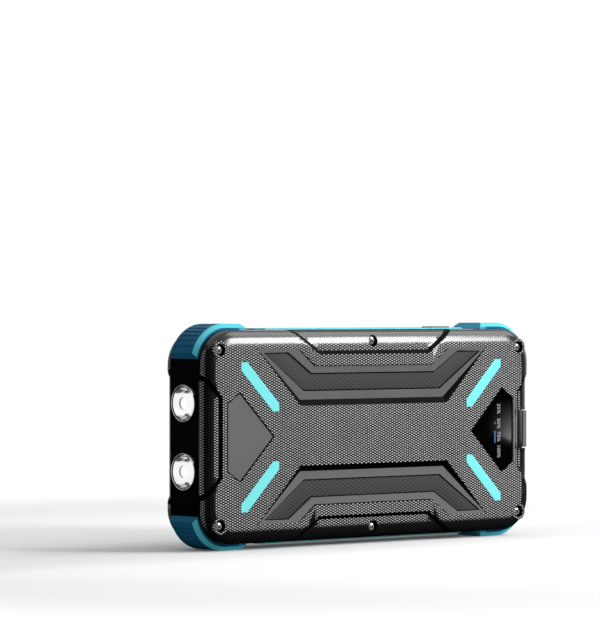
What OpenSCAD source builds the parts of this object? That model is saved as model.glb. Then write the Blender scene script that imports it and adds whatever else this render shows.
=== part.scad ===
// Rugged solar power bank with two flashlights, standing on its long edge.
// Each piece is drawn lying flat: x along the length with the ports at +x, y across the width,
// z up to the back cover. stand() then turns it onto its long edge, with the back cover to -y.

/* [Overall] */
// Length of the shells, without the bumpers
shell_l = 166.2; // [158:0.2:182]
// Width of the shells, without the bumpers
shell_w = 80.2; // [78:0.2:92]
// Thickness from the back cover's face to the solar bezel's face
total_t = 26; // [25:0.5:30]
// How far the bumpers stand out from the shells
bumper_proud = 2.4; // [1.8:0.1:3]
// Corner radius of shells and frame in plan
corner_r = 13; // [12:0.5:15]

/* [Shells] */
// Height of the back cover above the frame
cover_rise = 4; // [3.6:0.1:4.6]
// Height of the solar bezel beyond the frame
bezel_rise = 4; // [3.8:0.1:4.8]
// Thickness of the back cover's face
cover_t = 2.8; // [2.6:0.1:3.2]
// How far the back cover's edge slopes in along the long sides
cover_side_run = 6.3; // [5:0.1:7]
// How far the back cover's edge slopes in at the ends
cover_end_run = 4.9; // [4:0.1:5.5]
// How far the bezel's edge slopes in along the long sides
bezel_side_run = 3.9; // [3:0.1:5]
// How far the bezel's edge slopes in at the ends
bezel_end_run = 4.1; // [3:0.1:5]
// Height of the steep wall at the rim of both shells
rim_h = 1.2; // [1.1:0.1:1.6]
// Lean of that wall
rim_lean = 0.2; // [0.1:0.05:0.5]
// Height of the skirt that hangs over each end plate under the notch
skirt_h = 0.9; // [0.5:0.1:1.5]

/* [Edge notches] */
// Drop of the notched edge below the plain edge
notch_drop = 0.9; // [0.5:0.05:1.1]
// Length of the ramp at the notch's inner edge
notch_ramp = 1.5; // [0.8:0.1:2]
// How far a long side's notch reaches in from the edge
side_notch_reach = 9.3; // [8:0.1:10]
// Distance from a shell's end to the near corner of the long side's notch
side_notch_gap = 55.1; // [46:0.1:62]
// Slant of the long side's notch, length per unit of reach
side_notch_slant = 1.5; // [1:0.05:2]
// How far an end notch of the back cover reaches in
end_notch_reach = 7.7; // [6.5:0.1:8.5]
// Distance from a shell's side to the near corner of the back cover's end notch
end_notch_gap = 25.1; // [22:0.1:28]
// How far an end notch of the bezel reaches in
bezel_notch_reach = 6.2; // [5:0.1:7]
// Distance from a shell's side to the near corner of the bezel's end notch
bezel_notch_gap = 21.4; // [19:0.1:25]
// Slant of the end notches
end_notch_slant = 1.1; // [0.8:0.05:1.4]

/* [Armour bars] */
// Distance from the face's end to the bar's pointed tip
bar_tip_gap = 19.6; // [16:0.1:24]
// Distance from the face's side to the bar's outer edge
bar_edge_gap = 0.8; // [0.4:0.1:1.5]
// Length of the outer edge at each tip
bar_top_l = 19.8; // [14:0.1:24]
// Length of the slant from the outer edge to the middle
bar_slant_l = 8.8; // [6:0.1:12]
// Depth of that slant across the width
bar_slant_w = 6.6; // [4:0.1:8]
// Length from the tip to the inner edge's corner
bar_back_l = 21; // [16:0.1:26]
// Width of the plain field between the two bars
bar_field_w = 23; // [18:0.5:30]
// Depth of the bar's sunk floor at its inner edge
bar_depth = 1.5; // [0.8:0.1:1.6]
// Width of the sloped wall along the inner edge
bar_bevel = 2.1; // [1:0.1:3]
// Depth of the grip inlay below the bar's floor
inlay_depth = 0.4; // [0.2:0.05:0.5]
// Gap from the bar's tip to the inlay's tip
inlay_tip_gap = 3.9; // [3:0.1:6]
// Gap from the bar's outer edge to the inlay
inlay_edge_gap = 1.8; // [1:0.1:3]
// Gap from the bar's middle edge to the inlay
inlay_mid_gap = 3.2; // [2:0.1:4]
// Gap from the bar's inner edge to the inlay
inlay_low_gap = 5.7; // [4:0.1:7]

/* [Accent pieces] */
// Distance from the face's end to a strip's outer end
strip_end_gap = 11.5; // [9:0.1:14]
// Distance from the face's side to a strip's outer end
strip_side_gap = 5.6; // [4:0.1:8]
// Length of a strip along the charger
strip_l = 18.7; // [14:0.1:20]
// Length of a strip across the charger
strip_w = 18.9; // [14:0.1:20]
// Length of the cut corners at a strip's ends
strip_cut = 3.2; // [2:0.1:4]
// Thickness of a strip
strip_t = 1; // [0.6:0.1:1.2]
// Distance from the face's end to the outer edge of the diamond shapes
diamond_gap = 5.2; // [4:0.1:7]
// Length of the diamond shapes
diamond_l = 22.3; // [18:0.1:25]
// Width of the diamond's outer edge
diamond_edge_w = 25.4; // [18:0.2:28]
// Width across the diamond's shoulders
diamond_w = 33.2; // [26:0.2:36]
// Distance from the outer edge to the shoulders
diamond_shoulder = 5.9; // [4:0.1:8]
// Thickness of the plain diamond plate
plate_t = 0.8; // [0.6:0.1:1]
// Thickness of the indicator window
window_t = 1.15; // [0.8:0.05:1.3]
// How far the diamond plate and the window lie below the face
diamond_sink = 0.25; // [0.1:0.05:0.4]

/* [Screws] */
// Distance from the face's end to a corner screw
screw_end_gap = 1.7; // [1.5:0.1:3]
// Distance from the face's side to a corner screw
screw_side_gap = 1; // [1:0.1:2.5]
// Distance from the shell's side to a middle screw
mid_screw_gap = 4.2; // [4.2:0.1:5.2]
// Radius of the round land at a corner screw
screw_land_r = 3.3; // [2.8:0.1:3.4]
// How much wider that land is at its foot
land_flare = 0.6; // [0.2:0.1:0.8]
// Radius of the screw's sunk hole
screw_sink_r = 2.25; // [1.9:0.05:2.3]
// Depth of a corner screw's seat below the face
screw_sink = 1.9; // [1.6:0.1:2.2]
// Depth of a middle screw's seat below the face
mid_screw_sink = 2.8; // [2.6:0.1:3]
// Radius of the screw's head
screw_head_r = 1.6; // [1.4:0.05:1.8]
// Height of the screw's head
screw_head_h = 1.1; // [0.8:0.1:1.2]
// Radius of the screw's shank
screw_r = 0.95; // [0.8:0.05:1]
// Length of the screw's shank
screw_l = 10; // [8:0.5:12]
// Radius of the screw bosses
boss_r = 2.6; // [2.4:0.1:2.8]

/* [Frame] */
// Thickness of the frame's long walls
side_wall = 2; // [1.8:0.1:2.4]
// Depth of the recess for an end plate
end_recess = 2.7; // [2.5:0.1:3.2]
// Thickness of the frame's wall behind an end plate
end_web = 2; // [1.6:0.1:2.4]
// Corner radius of the frame's bay
bay_r = 9; // [7:0.5:10]
// Width of the gasket
gasket_w = 1; // [0.8:0.05:1]
// Depth of the gasket's groove
gasket_h = 0.8; // [0.6:0.05:1]
// Thickness of an end plate
end_plate_t = 2.2; // [2:0.1:2.4]

/* [Bumpers and side grips] */
// Depth of a bumper, across the charger's thickness
bumper_d = 15.6; // [14:0.2:17]
// How far a bumper reaches along the long side from the shell's end
bumper_side_reach = 23.2; // [19:0.1:27]
// How far a bumper reaches along the end from the shell's side
bumper_end_reach = 10.3; // [9:0.1:11.5]
// Bevel along a bumper's edges
bumper_bevel = 1.5; // [1:0.1:1.7]
// Distance between the bumper's grooves
groove_pitch = 2.4; // [2:0.1:3]
// Radius of a groove
groove_r = 0.6; // [0.4:0.05:0.7]
// Distance from a bumper to the near end of a side grip
grip_end_gap = 6.4; // [4:0.1:9]
// Width of the side grips
grip_w = 15; // [13:0.2:16]
// How far the grips stand out from the frame
grip_proud = 0.6; // [0.3:0.05:1]
// Depth of the grips' seat in the frame
grip_seat = 1; // [0.8:0.1:1.1]
// Cut corners of the grips
grip_cut = 3; // [2:0.1:4]
// Bevel round a grip's outer edge
grip_bevel = 0.45; // [0.2:0.05:0.6]
// Width of the lines cut in the grips
line_w = 0.8; // [0.5:0.05:1]
// Depth of those lines
line_depth = 0.35; // [0.2:0.05:0.5]
// Distance between the chevrons
chevron_pitch = 4.4; // [3.6:0.1:4.6]
// Number of chevrons at each end of a grip
chevron_count = 4; // [2:1:4]

/* [Lamps] */
// Distance between the two lamps
lamp_pitch = 25.6; // [22:0.2:27]
// Outer radius of a lamp
lamp_r = 7; // [6:0.1:7.2]
// How far a lamp stands out from the end plate
lamp_proud = 1.3; // [0.2:0.1:1.8]
// Depth of a lamp from its rim to its board
lamp_depth = 11.1; // [9:0.1:13]
// Thickness of a lamp's lens
lens_t = 1.2; // [1:0.1:1.5]
// Radius of the round eye in the middle of a lens
eye_r = 2.2; // [1.5:0.1:3]
// Depth of that eye
eye_depth = 0.7; // [0.3:0.1:0.9]
// Thickness of the lamp board
lamp_board_t = 1.6; // [1:0.1:2]
// Width of the lamp board
lamp_board_w = 44; // [40:1:50]

/* [Solar panel] */
// Distance from the shell's end to the panel
panel_end_gap = 9.8; // [8:0.1:11]
// Distance from the shell's side to the panel
panel_side_gap = 7.5; // [6.5:0.1:9]
// Corner radius of the panel
panel_r = 5; // [3:0.5:8]
// Depth of the panel's pocket in the bezel
panel_pocket = 2.2; // [2:0.1:2.4]
// Thickness of the cell board
cell_board_t = 1; // [0.8:0.1:1.2]
// Thickness of the clear sheet over the cells
sheet_t = 0.9; // [0.6:0.1:1]
// Length of a cell along the charger
cell_l = 12.2; // [9:0.1:13]
// Distance between rows of cells
cell_pitch = 14.2; // [13.5:0.1:16]
// Gap between the two columns of cells
cell_gap = 3.9; // [2:0.1:6]
// Margin of the cells inside the panel
cell_margin = 1.5; // [1:0.1:3]
// Thickness of a cell
cell_t = 0.25; // [0.2:0.05:0.4]

/* [Port end] */
// Gap between the USB sockets
usb_gap = 1; // [0.8:0.1:2]
// Width of a USB-A socket
usb_a_w = 13.1; // [12.8:0.1:13.4]
// Height of a USB-A socket
usb_a_h = 5.8; // [5.6:0.1:6]
// Depth of a USB-A socket
usb_a_d = 13.6; // [12:0.2:15]
// Width of the USB-C socket
usb_c_w = 8.94; // [8.8:0.02:9.1]
// Height of the USB-C socket
usb_c_h = 3.26; // [3.2:0.02:3.4]
// Depth of the USB-C socket
usb_c_d = 8; // [7:0.2:10]
// Thickness of the port cover
flap_t = 1.8; // [1.6:0.1:2]
// Margin of the port cover beside the sockets
flap_margin = 2.4; // [1.5:0.1:3]
// Width of the port cover's pull tab
tab_w = 14.6; // [11:0.2:17]
// How far the pull tab reaches over the back cover's end
tab_reach = 2.2; // [1.5:0.1:3.8]
// Depth of the thumb recess behind the tab
thumb_in = 2.7; // [1.8:0.1:2.7]
// Height of the hinge axis above the frame's lower edge
hinge_rise = 2.8; // [2.6:0.1:3.4]
// Radius of the hinge pins
pin_r = 0.6; // [0.5:0.05:0.7]
// Depth of the plugs on the port cover's inside
plug_d = 1.2; // [0.6:0.1:1.3]

/* [Boards and button] */
// Length of the main board
board_l = 39.6; // [37:0.2:44]
// Gap between the main board and the frame's long walls
board_side_gap = 3.8; // [3.4:0.1:5]
// Thickness of the main board
board_t = 1.6; // [1.2:0.1:1.6]
// Distance from the main board's inner edge to the power button
button_in = 5; // [3.5:0.5:7]
// Length of the power button
button_l = 12.6; // [10:0.2:15]
// Width of the power button
button_w = 5.6; // [4.6:0.2:6]
// How far the button stands out from its grip
button_proud = 0.4; // [0.2:0.05:0.8]
// Travel of the power button
button_travel = 0.6; // [0.3:0.05:0.8]
// Gap between the button's flange and its switch
switch_gap = 1.7; // [1.2:0.1:2.2]
// Radius of the switch's plunger
plunger_r = 1.1; // [0.8:0.05:1.2]

/* [Clearances] */
// Gap round fixed pieces that are let into another
fit_gap = 0.1; // [0.05:0.05:0.15]
// Gap round moving pieces
move_gap = 0.3; // [0.25:0.05:0.4]
// Gap in the hinge's and the plunger's running fits
run_gap = 0.05; // [0.02:0.01:0.08]
// Space for leads between the battery and what is round it
lead_space = 2.4; // [2:0.1:3]

/* [Hidden] */
$fn = 32;
over = 1;
half_l = shell_l / 2;
half_w = shell_w / 2;
total_w = shell_w + 2 * bumper_proud;
half_t = total_t / 2;
frame_top = half_t - cover_rise;
frame_low = bezel_rise - half_t;
cover_under = half_t - cover_t;
face_l = half_l - cover_end_run;
face_w = half_w - cover_side_run;
bay_l = half_l - end_recess - end_web;
bay_w = half_w - side_wall;
end_seat = half_l - end_recess;
end_half = half_w - bumper_end_reach - move_gap;
end_face = end_seat + end_plate_t;
end_corner_r = 1.5;
skirt_low = frame_top - skirt_h;
plate_mid = (skirt_low + frame_low) / 2;
notch_in = notch_drop / 6;
skirt_half = half_w - end_notch_gap + end_notch_slant * end_notch_reach
    - norm([1, end_notch_slant]) * notch_ramp;
corner_steps = 10;
edge_turns = [0, 30, 60, 90];
edge_tuck = 0.7;
screw_x = face_l - screw_end_gap;
screw_y = face_w - screw_side_gap;
mid_screw_y = half_w - mid_screw_gap;
corner_screws = [for (i = [-1, 1]) for (j = [-1, 1]) [i * screw_x, j * screw_y]];
mid_screws = [for (j = [-1, 1]) [0, j * mid_screw_y]];
all_screws = concat(corner_screws, mid_screws);
screw_hole_gap = 0.25;
screw_hole_r = screw_r + screw_hole_gap;
screw_bite_r = screw_r + run_gap;
screw_taper = 0.8;
cross_size = [1.6, 0.4, 1];
gasket_in = 2;
gasket_r = corner_r - gasket_in;
gasket_eye_r = 2.1;
bar_tip_x = face_l - bar_tip_gap;
bar_top_y = face_w - bar_edge_gap;
bar_low_y = bar_field_w / 2;
bar_low_x = bar_tip_x - bar_back_l;
bar_top_x = bar_tip_x - bar_top_l;
bar_mid_x = bar_top_x - bar_slant_l;
bar_mid_y = bar_top_y - bar_slant_w;
bar_floor_tilt = atan(bar_depth / (bar_top_y - bar_low_y - bar_bevel));
bar_wall_tilt = atan(bar_depth / bar_bevel);
bar_end_turn = atan2(bar_top_y - bar_low_y, bar_back_l);
tab_half = tab_w / 2 + move_gap;
grip_out = half_w + grip_proud;
grip_base = half_w - grip_seat;
grip_l = 2 * (half_l - bumper_side_reach - grip_end_gap);
chevron_margin = 1.2;
chevron_end = 3.4;
chevron_size = [2.6, 3.4];
line_end = 22;
side_line_end = 7.6;
side_line_y = 3.4;
line_hook = [1.8, 1.2];
lamp_x = end_face + lamp_proud - lamp_depth;
lens_seat = lens_t + fit_gap;
lens_ledge = 0.5;
lens_r = lamp_r - lens_ledge - run_gap;
cup_h = lamp_depth - lens_seat;
cup_base_r = 2.6;
cup_rim = 1;
cup_rim_r = lamp_r - cup_rim;
cup_wall = 0.6;
cup_lip = 1;
cup_steps = 8;
optic_gap = 0.4;
lamp_led_w = 3.4;
lamp_led_h = 1;
lamp_dome_r = 1.4;
lamp_dome_sink = 0.2;
optic_foot = lamp_led_h + lamp_dome_r + optic_gap;
lamp_board_x = lamp_x - lamp_board_t;
lamp_board_gap = 4.2;
lamp_board_top = cover_under - lamp_board_gap;
panel_l = 2 * (half_l - panel_end_gap);
panel_w = 2 * (half_w - panel_side_gap);
panel_seat = panel_pocket - half_t;
cell_rows = floor((panel_l - 2 * cell_margin + cell_pitch - cell_l) / cell_pitch);
cell_w = (panel_w - cell_gap) / 2 - cell_margin;
hinge_h = frame_low + hinge_rise;
hinge_sink = 0.2;
hinge_x = end_face - hinge_sink;
flap_floor = hinge_x - flap_t / 2 - fit_gap;
flap_top = skirt_low - move_gap;
ear_wall = 0.7;
ear_r = pin_r + ear_wall;
ear_l = 1.6;
pin_l = 1.3;
usb_a_y = (usb_c_w + usb_a_w) / 2 + usb_gap;
flap_half = usb_a_y + usb_a_w / 2 + flap_margin;
flap_w = 2 * flap_half;
usb_front = flap_floor - fit_gap;
usb_wall = 0.4;
usb_c_wall = 0.3;
usb_c_flat = 0.06;
usb_c_r = (usb_c_h - usb_c_flat) / 2;
plug_gap = 0.9;
usb_c_plug_gap = 0.8;
tongue_gap = 1.2;
tongue_in = plug_d + tongue_gap;
usb_a_tongue = [11.2, 1.9];
usb_a_tongue_rise = 1.1;
usb_c_tongue = [5.6, 0.7];
board_low = usb_a_h / 2;
board_top = board_low + board_t;
board_half = bay_w - board_side_gap;
board_end_gap = 0.4;
board_x1 = bay_l - board_end_gap;
board_x0 = board_x1 - board_l;
usb_c_mid = board_low - usb_c_h / 2;
stand_r = 2.2;
stand_side = 7.4;
stand_inner = 10;
stand_outer = 9;
stand_x = [board_x0 + stand_inner, board_x1 - stand_outer];
stand_y = board_half - stand_side;
standoffs = [for (x = stand_x) for (y = [-stand_y, stand_y]) [x, y]];
coil_r = 3.5;
coil_h = 3.6;
coil_in = 8;
coil_side = 7;
chip_in = 7;
cap_in = 14;
cap_y = 12;
chip_size = [5, 5, 0.9];
cap_size = [3.2, 3.2, 1.8];
driver_size = [6, 6, 1];
button_x = board_x0 + button_in;
flange_out = bay_w - fit_gap;
flange_t = 1.2;
flange_in = flange_out - flange_t;
flange_lap = 1.5;
switch_front = flange_in - switch_gap;
switch_size = [6, 4.2, 4.4];
plunger_in = 0.9;
window_in = 7.3;
window_x = face_l - diamond_gap - window_in;
guide_l = 4;
guide_w = 23;
guide_lap = 2;
guide_lip = 1;
led_w = 1.6;
led_h = 0.7;
led_pitch = 6;
led_gap = 0.2;
lead_slack = 2;
battery_gap = 1.6;
battery_x0 = lead_space + lead_slack - lamp_board_x;
battery_x1 = board_x0 - battery_gap;
battery_half = mid_screw_y - boss_r - lead_space;
battery_r = 3;
tape_t = 0.6;
tape_in = 4;
foam_t = 0.8;
foam_in = 6;
battery_t = (cover_under - frame_low - 2 * tape_t - foam_t) / 2;
battery_low = frame_low + tape_t;
// Routes of the leads, point by point
lead_r = 0.7;
lead_turn = 0.9;
lead_y = battery_half + lead_space / 2;
lamp_lead_y = lamp_pitch / 2 + 5.2;
lamp_lead_x = (battery_x0 - lamp_board_x) / 2;
lamp_lead_h = [-1, -3.6];
lamp_end_x = board_x0 + 3.8;
lamp_end_y = stand_y - 3;
lamp_route = [[-lamp_board_x, lamp_lead_y, 0], [lead_turn - lamp_board_x, lamp_lead_y, 0],
    [lamp_lead_x, lamp_lead_y + 2 * lead_turn, 0], [lamp_lead_x, battery_half - 1.3, 0],
    [lamp_lead_x + 0.6, lead_y - 0.6, 0], [battery_x0 + 1, lead_y, 0], [0, lead_y, 0],
    [battery_x1 - battery_r, lead_y, 0], [battery_x1 + 0.2, lead_y - 0.9, 0],
    [board_x0 + 0.6, lead_y - 4.7, 0]];
lamp_ends = [
    [[lamp_end_x - 0.6, lamp_end_y + 0.8, -0.7], [lamp_end_x, lamp_end_y, 1],
    [lamp_end_x, lamp_end_y, board_low]],
    [[lamp_end_x + 0.6, lamp_end_y - 1, -3.2], [lamp_end_x + 2, lamp_end_y - 2.8, -1],
    [lamp_end_x + 2, lamp_end_y - 3, 1], [lamp_end_x + 2, lamp_end_y - 3, board_low]]];
upper_lead_y = 14;
upper_lead_h = board_top + 0.8;
upper_cell_route = [[battery_x1, 0, upper_lead_h], [battery_x1 + lead_turn, 0, upper_lead_h],
    [board_x0 + 0.4, 0, board_top + 1.6], [board_x0 + 2, 0, board_top + 1.8],
    [board_x0 + 2.8, 0, board_top + lead_turn], [board_x0 + 2.8, 0, board_top]];
lower_lead_y = 10;
lower_lead_h = battery_low + battery_t / 2;
lower_cell_route = [[battery_x1, 0, lower_lead_h], [battery_x1 + lead_turn, 0, lower_lead_h],
    [board_x0 + 1, 0, board_low - 6.4], [board_x0 + 2.4, 0, board_low - 4],
    [board_x0 + 2.8, 0, board_low - 2], [board_x0 + 2.8, 0, board_low]];
solar_lead_y = 5;
solar_lead_in = 13;
solar_lead_x = board_x0 + solar_lead_in;
solar_route = [[solar_lead_x, 0, panel_seat], [solar_lead_x, 0, frame_low + 2],
    [solar_lead_x + 0.6, 0, -3.4], [solar_lead_x + 1, 0, board_low - 2], [solar_lead_x + 1, 0, board_low]];

// Colours, as the charger shows them
shell_black = [0.16, 0.16, 0.17];
frame_silver = [0.86, 0.86, 0.87];
bumper_blue = [0.1, 0.38, 0.55];
grip_blue = [0.31, 0.52, 0.64];
strip_cyan = [0.51, 0.96, 0.96];
plain_grey = [0.41, 0.41, 0.41];
gloss_black = [0.04, 0.04, 0.05];
chrome_grey = [0.8, 0.82, 0.84];
clear_grey = [0.8, 0.85, 0.88, 0.35];
board_green = [0.05, 0.3, 0.16];
cell_grey = [0.27, 0.27, 0.29];
white_grey = [0.93, 0.93, 0.9];
lead_red = [0.7, 0.1, 0.1];

// Turns a flat piece onto the charger's long edge
module stand() {
    translate([0, 0, total_w / 2]) rotate([90, 0, 0]) children();
}

// Rounded rectangle of half length a, half width b and corner radius r
function round_rect(a, b, r, n = corner_steps) = [
    for (q = [0:3]) for (i = [0:n])
        let (turn = 90 * (q + i / n), sx = (q == 0 || q == 3) ? 1 : -1, sy = q < 2 ? 1 : -1)
        [sx * (a - r) + r * cos(turn), sy * (b - r) + r * sin(turn)]
];

// Rectangle of half length a and half width b with cut corners
function cut_rect(a, b, c) = [[a, c - b], [a, b - c], [a - c, b], [c - a, b], [-a, b - c], [-a, c - b],
    [c - a, -b], [a - c, -b]];

// Straight block on an outline, from one height to another
module slab(outline, low, high) {
    translate([0, 0, low]) linear_extrude(high - low) polygon(outline);
}

// Skin through outlines with equally many points, one at each height
module loft(outlines, heights) {
    n = len(outlines[0]);
    last = len(outlines) - 1;
    points = [for (k = [0:last]) for (p = outlines[k]) [p[0], p[1], heights[k]]];
    walls = [for (k = [0:last - 1]) for (i = [0:n - 1])
        let (j = (i + 1) % n, a = k * n, b = a + n) each [[a + i, b + i, b + j], [a + i, b + j, a + j]]];
    ends = [[for (i = [0:n - 1]) i], [for (i = [0:n - 1]) last * n + n - 1 - i]];
    polyhedron(points, concat(walls, ends));
}

// Round lead of radius r swept along its points
function unit(v) = v / norm(v);
function along(path, i) = unit(path[min(i + 1, len(path) - 1)] - path[max(i - 1, 0)]);
function aside(path, i, start) = let (t = along(path, i), u = i == 0 ? start : aside(path, i - 1, start))
    unit(u - (u * t) * t);
module lead(path, r, start = [0, 0.6, 0.8], sides = 8) {
    n = sides;
    last = len(path) - 1;
    points = [for (i = [0:last]) let (t = along(path, i), u = aside(path, i, start), v = cross(t, u))
        for (k = [0:n - 1]) path[i] + r * (cos(360 * k / n) * u + sin(360 * k / n) * v)];
    walls = [for (i = [0:last - 1]) for (k = [0:n - 1])
        let (a = i * n + k, b = i * n + (k + 1) % n) each [[a, a + n, b + n], [a, b + n, b]]];
    ends = [[for (k = [0:n - 1]) k], [for (k = [0:n - 1]) last * n + n - 1 - k]];
    polyhedron(points, concat(walls, ends));
}

// Stadium outline along x, pulled up into a block
module pill(l, w, h) {
    linear_extrude(h) {
        square([l - w, w], center = true);
        for (s = [-1, 1]) translate([s * (l - w) / 2, 0]) circle(w / 2);
    }
}

// Shell edge from the frame up to the face, sunk by drop where it is notched
module edge_loft(end_run, side_run, rise, drop) {
    inset = drop * notch_in / notch_drop;
    base = half_t - rise;
    ends = concat([0], [for (t = edge_turns) rim_lean + (end_run - rim_lean) * (1 - cos(t))]);
    sides = concat([0], [for (t = edge_turns) rim_lean + (side_run - rim_lean) * (1 - cos(t))]);
    heights = concat([base], [for (t = edge_turns) base + rim_h - drop + (rise - rim_h) * sin(t)]);
    loft([for (k = [0:len(ends) - 1]) round_rect(half_l - ends[k] - inset, half_w - sides[k] - inset,
        corner_r - edge_tuck * sides[k])], heights);
}

// Notch across an edge that lies at y = edge, with a ramp on its three inner sides
function notch_outline(step, edge, reach, half, slant) = let (
    a = half + slant * step - norm([1, slant]) * step,
    b = a + slant * (reach + over - step))
    [[-a, edge - reach + step], [a, edge - reach + step], [b, edge + over], [-b, edge + over]];
module notch(edge, reach, half, slant, low) {
    steps = [notch_ramp, notch_ramp, -notch_ramp * over / notch_drop];
    loft([for (step = steps) notch_outline(step, edge, reach, half, slant)],
        [low, half_t - notch_drop, half_t + over]);
}
module both_ends() {
    for (s = [0, 1]) mirror([s, 0, 0]) rotate([0, 0, -90]) children();
}
module both_sides() {
    for (s = [0, 1]) mirror([0, s, 0]) children();
}

// Back cover before its pockets: the sloped edge, its notches and the skirts over the end plates
module skirt(gap) {
    x = end_seat + fit_gap - gap;
    y = skirt_half + gap;
    h = skirt_h + (rim_h - notch_drop) / 2 + gap;
    for (s = [0, 1]) mirror([s, 0, 0]) translate([x, -y, skirt_low - gap])
        cube([half_l - notch_in - x, 2 * y, h]);
}
module tab_zone() {
    translate([face_l - cover_end_run - over, -tab_half, skirt_low - over])
        cube([half_l, 2 * tab_half, total_t]);
}
module notched_cover() {
    difference() {
        edge_loft(cover_end_run, cover_side_run, cover_rise, 0);
        both_sides()
            notch(half_w, side_notch_reach, half_l - side_notch_gap, side_notch_slant, skirt_low - over);
        both_ends()
            notch(half_l, end_notch_reach, half_w - end_notch_gap, end_notch_slant, skirt_low - over);
    }
    edge_loft(cover_end_run, cover_side_run, cover_rise, notch_drop);
    skirt(0);
}
module cover_body() {
    difference() {
        notched_cover();
        tab_zone();
    }
    intersection() {
        translate([-thumb_in, 0, 0]) edge_loft(cover_end_run, cover_side_run, cover_rise, 0);
        tab_zone();
    }
}

// Sunk armour bar: a floor that tilts down from the outer edge, inside sloped walls
function both_halves(half) = concat(half, [for (k = [len(half) - 1:-1:0]) [-half[k][0], half[k][1]]]);
function bar_outline() = both_halves([[bar_low_x, bar_low_y], [bar_tip_x, bar_top_y],
    [bar_top_x, bar_top_y], [bar_mid_x, bar_mid_y]]);
function inlay_outline() = both_halves([
    [bar_low_x - inlay_low_gap / 2, bar_low_y + inlay_low_gap],
    [bar_tip_x - inlay_tip_gap, bar_top_y - inlay_edge_gap],
    [bar_top_x + 1.25 * inlay_tip_gap, bar_top_y - inlay_edge_gap],
    [bar_mid_x + inlay_mid_gap / 2, bar_mid_y - inlay_mid_gap]]);
module over_floor(sink) {
    translate([0, bar_top_y, half_t - sink]) rotate([bar_floor_tilt, 0, 0])
        translate([-half_l, -half_w, 0]) cube([2 * half_l, half_w + over, half_t]);
}
module over_wall() {
    rotate([-bar_wall_tilt, 0, 0]) translate([-half_l, 0, 0]) cube([2 * half_l, half_w, half_t]);
}
module over_end_wall() {
    translate([bar_low_x, bar_low_y, half_t]) rotate([0, 0, bar_end_turn]) over_wall();
}
module bar_pocket() {
    intersection() {
        slab(bar_outline(), cover_under, half_t + over);
        over_floor(0);
        translate([0, bar_low_y, half_t]) over_wall();
        over_end_wall();
        mirror([1, 0, 0]) over_end_wall();
    }
    intersection() {
        slab(inlay_outline(), cover_under, half_t + over);
        over_floor(inlay_depth);
    }
}

// Outlines of the accent strips and the two diamond shapes, for the quarter and the end at +x
function strip_outline(gap) = let (
    x = face_l - strip_end_gap - gap, y = face_w - strip_side_gap - gap,
    u = x - strip_l + 2 * gap, v = y - strip_w + 2 * gap, c = strip_cut - 1.5 * gap)
    [[u, v], [u + c, v], [x, y - c], [x, y], [x - c, y], [u, v + c]];
function diamond_outline(gap) = let (
    x = face_l - diamond_gap - gap, s = x - diamond_shoulder + gap,
    tip = face_l - diamond_gap - diamond_l + 1.4 * gap,
    a = diamond_edge_w / 2 - gap, b = diamond_w / 2 - gap)
    [[tip, 0], [s, -b], [x, -a], [x, a], [s, b]];
module in_quarter(sx, sy) {
    mirror([sx < 0 ? 1 : 0, 0, 0]) mirror([0, sy < 0 ? 1 : 0, 0]) children();
}

// Screw holes of the cover: sunk seat for the head and a clear hole for the shank
module screw_cut(seat) {
    translate([0, 0, seat]) cylinder(h = half_t, r = screw_sink_r);
    cylinder(h = half_t, r = screw_hole_r);
}

module back_cover() {
    color(shell_black) stand() difference() {
        union() {
            difference() {
                cover_body();
                slab(round_rect(bay_l, bay_w, bay_r), 0, cover_under);
            }
            for (p = corner_screws) translate([p[0], p[1], frame_top])
                cylinder(h = cover_rise, r1 = screw_land_r + land_flare, r2 = screw_land_r);
            for (p = all_screws) translate([p[0], p[1], frame_top])
                cylinder(h = cover_rise - mid_screw_sink + fit_gap, r = boss_r - fit_gap);
        }
        both_sides() bar_pocket();
        for (i = [-1, 1]) for (j = [-1, 1]) in_quarter(i, j)
            slab(strip_outline(0), half_t - strip_t, half_t + over);
        slab(diamond_outline(0), half_t - diamond_sink - window_t, half_t + over);
        mirror([1, 0, 0]) slab(diamond_outline(0), half_t - diamond_sink - plate_t, half_t + over);
        translate([window_x, 0, half_t])
            cube([guide_l + 2 * fit_gap, guide_w + 2 * fit_gap, half_t], center = true);
        for (p = corner_screws) translate(p) screw_cut(half_t - screw_sink);
        for (p = mid_screws) translate(p) screw_cut(half_t - mid_screw_sink);
    }
}

module solar_bezel() {
    color(shell_black) stand() difference() {
        union() {
            mirror([0, 0, 1]) {
                difference() {
                    edge_loft(bezel_end_run, bezel_side_run, bezel_rise, 0);
                    both_ends()
                        notch(half_l, bezel_notch_reach, half_w - bezel_notch_gap, end_notch_slant, 0);
                }
                edge_loft(bezel_end_run, bezel_side_run, bezel_rise, notch_drop);
            }
            for (p = standoffs) translate([p[0], p[1], frame_low])
                cylinder(h = board_low - frame_low, r = stand_r);
        }
        slab(round_rect(panel_l / 2 + fit_gap, panel_w / 2 + fit_gap, panel_r), -half_t - over, panel_seat);
        for (j = [-1, 1]) translate([solar_lead_x, j * solar_lead_y, -half_t])
            cylinder(h = half_t, r = 2 * lead_r);
        for (p = standoffs) translate([p[0], p[1], board_top - screw_l])
            cylinder(h = screw_l, r = screw_bite_r);
    }
}

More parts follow.
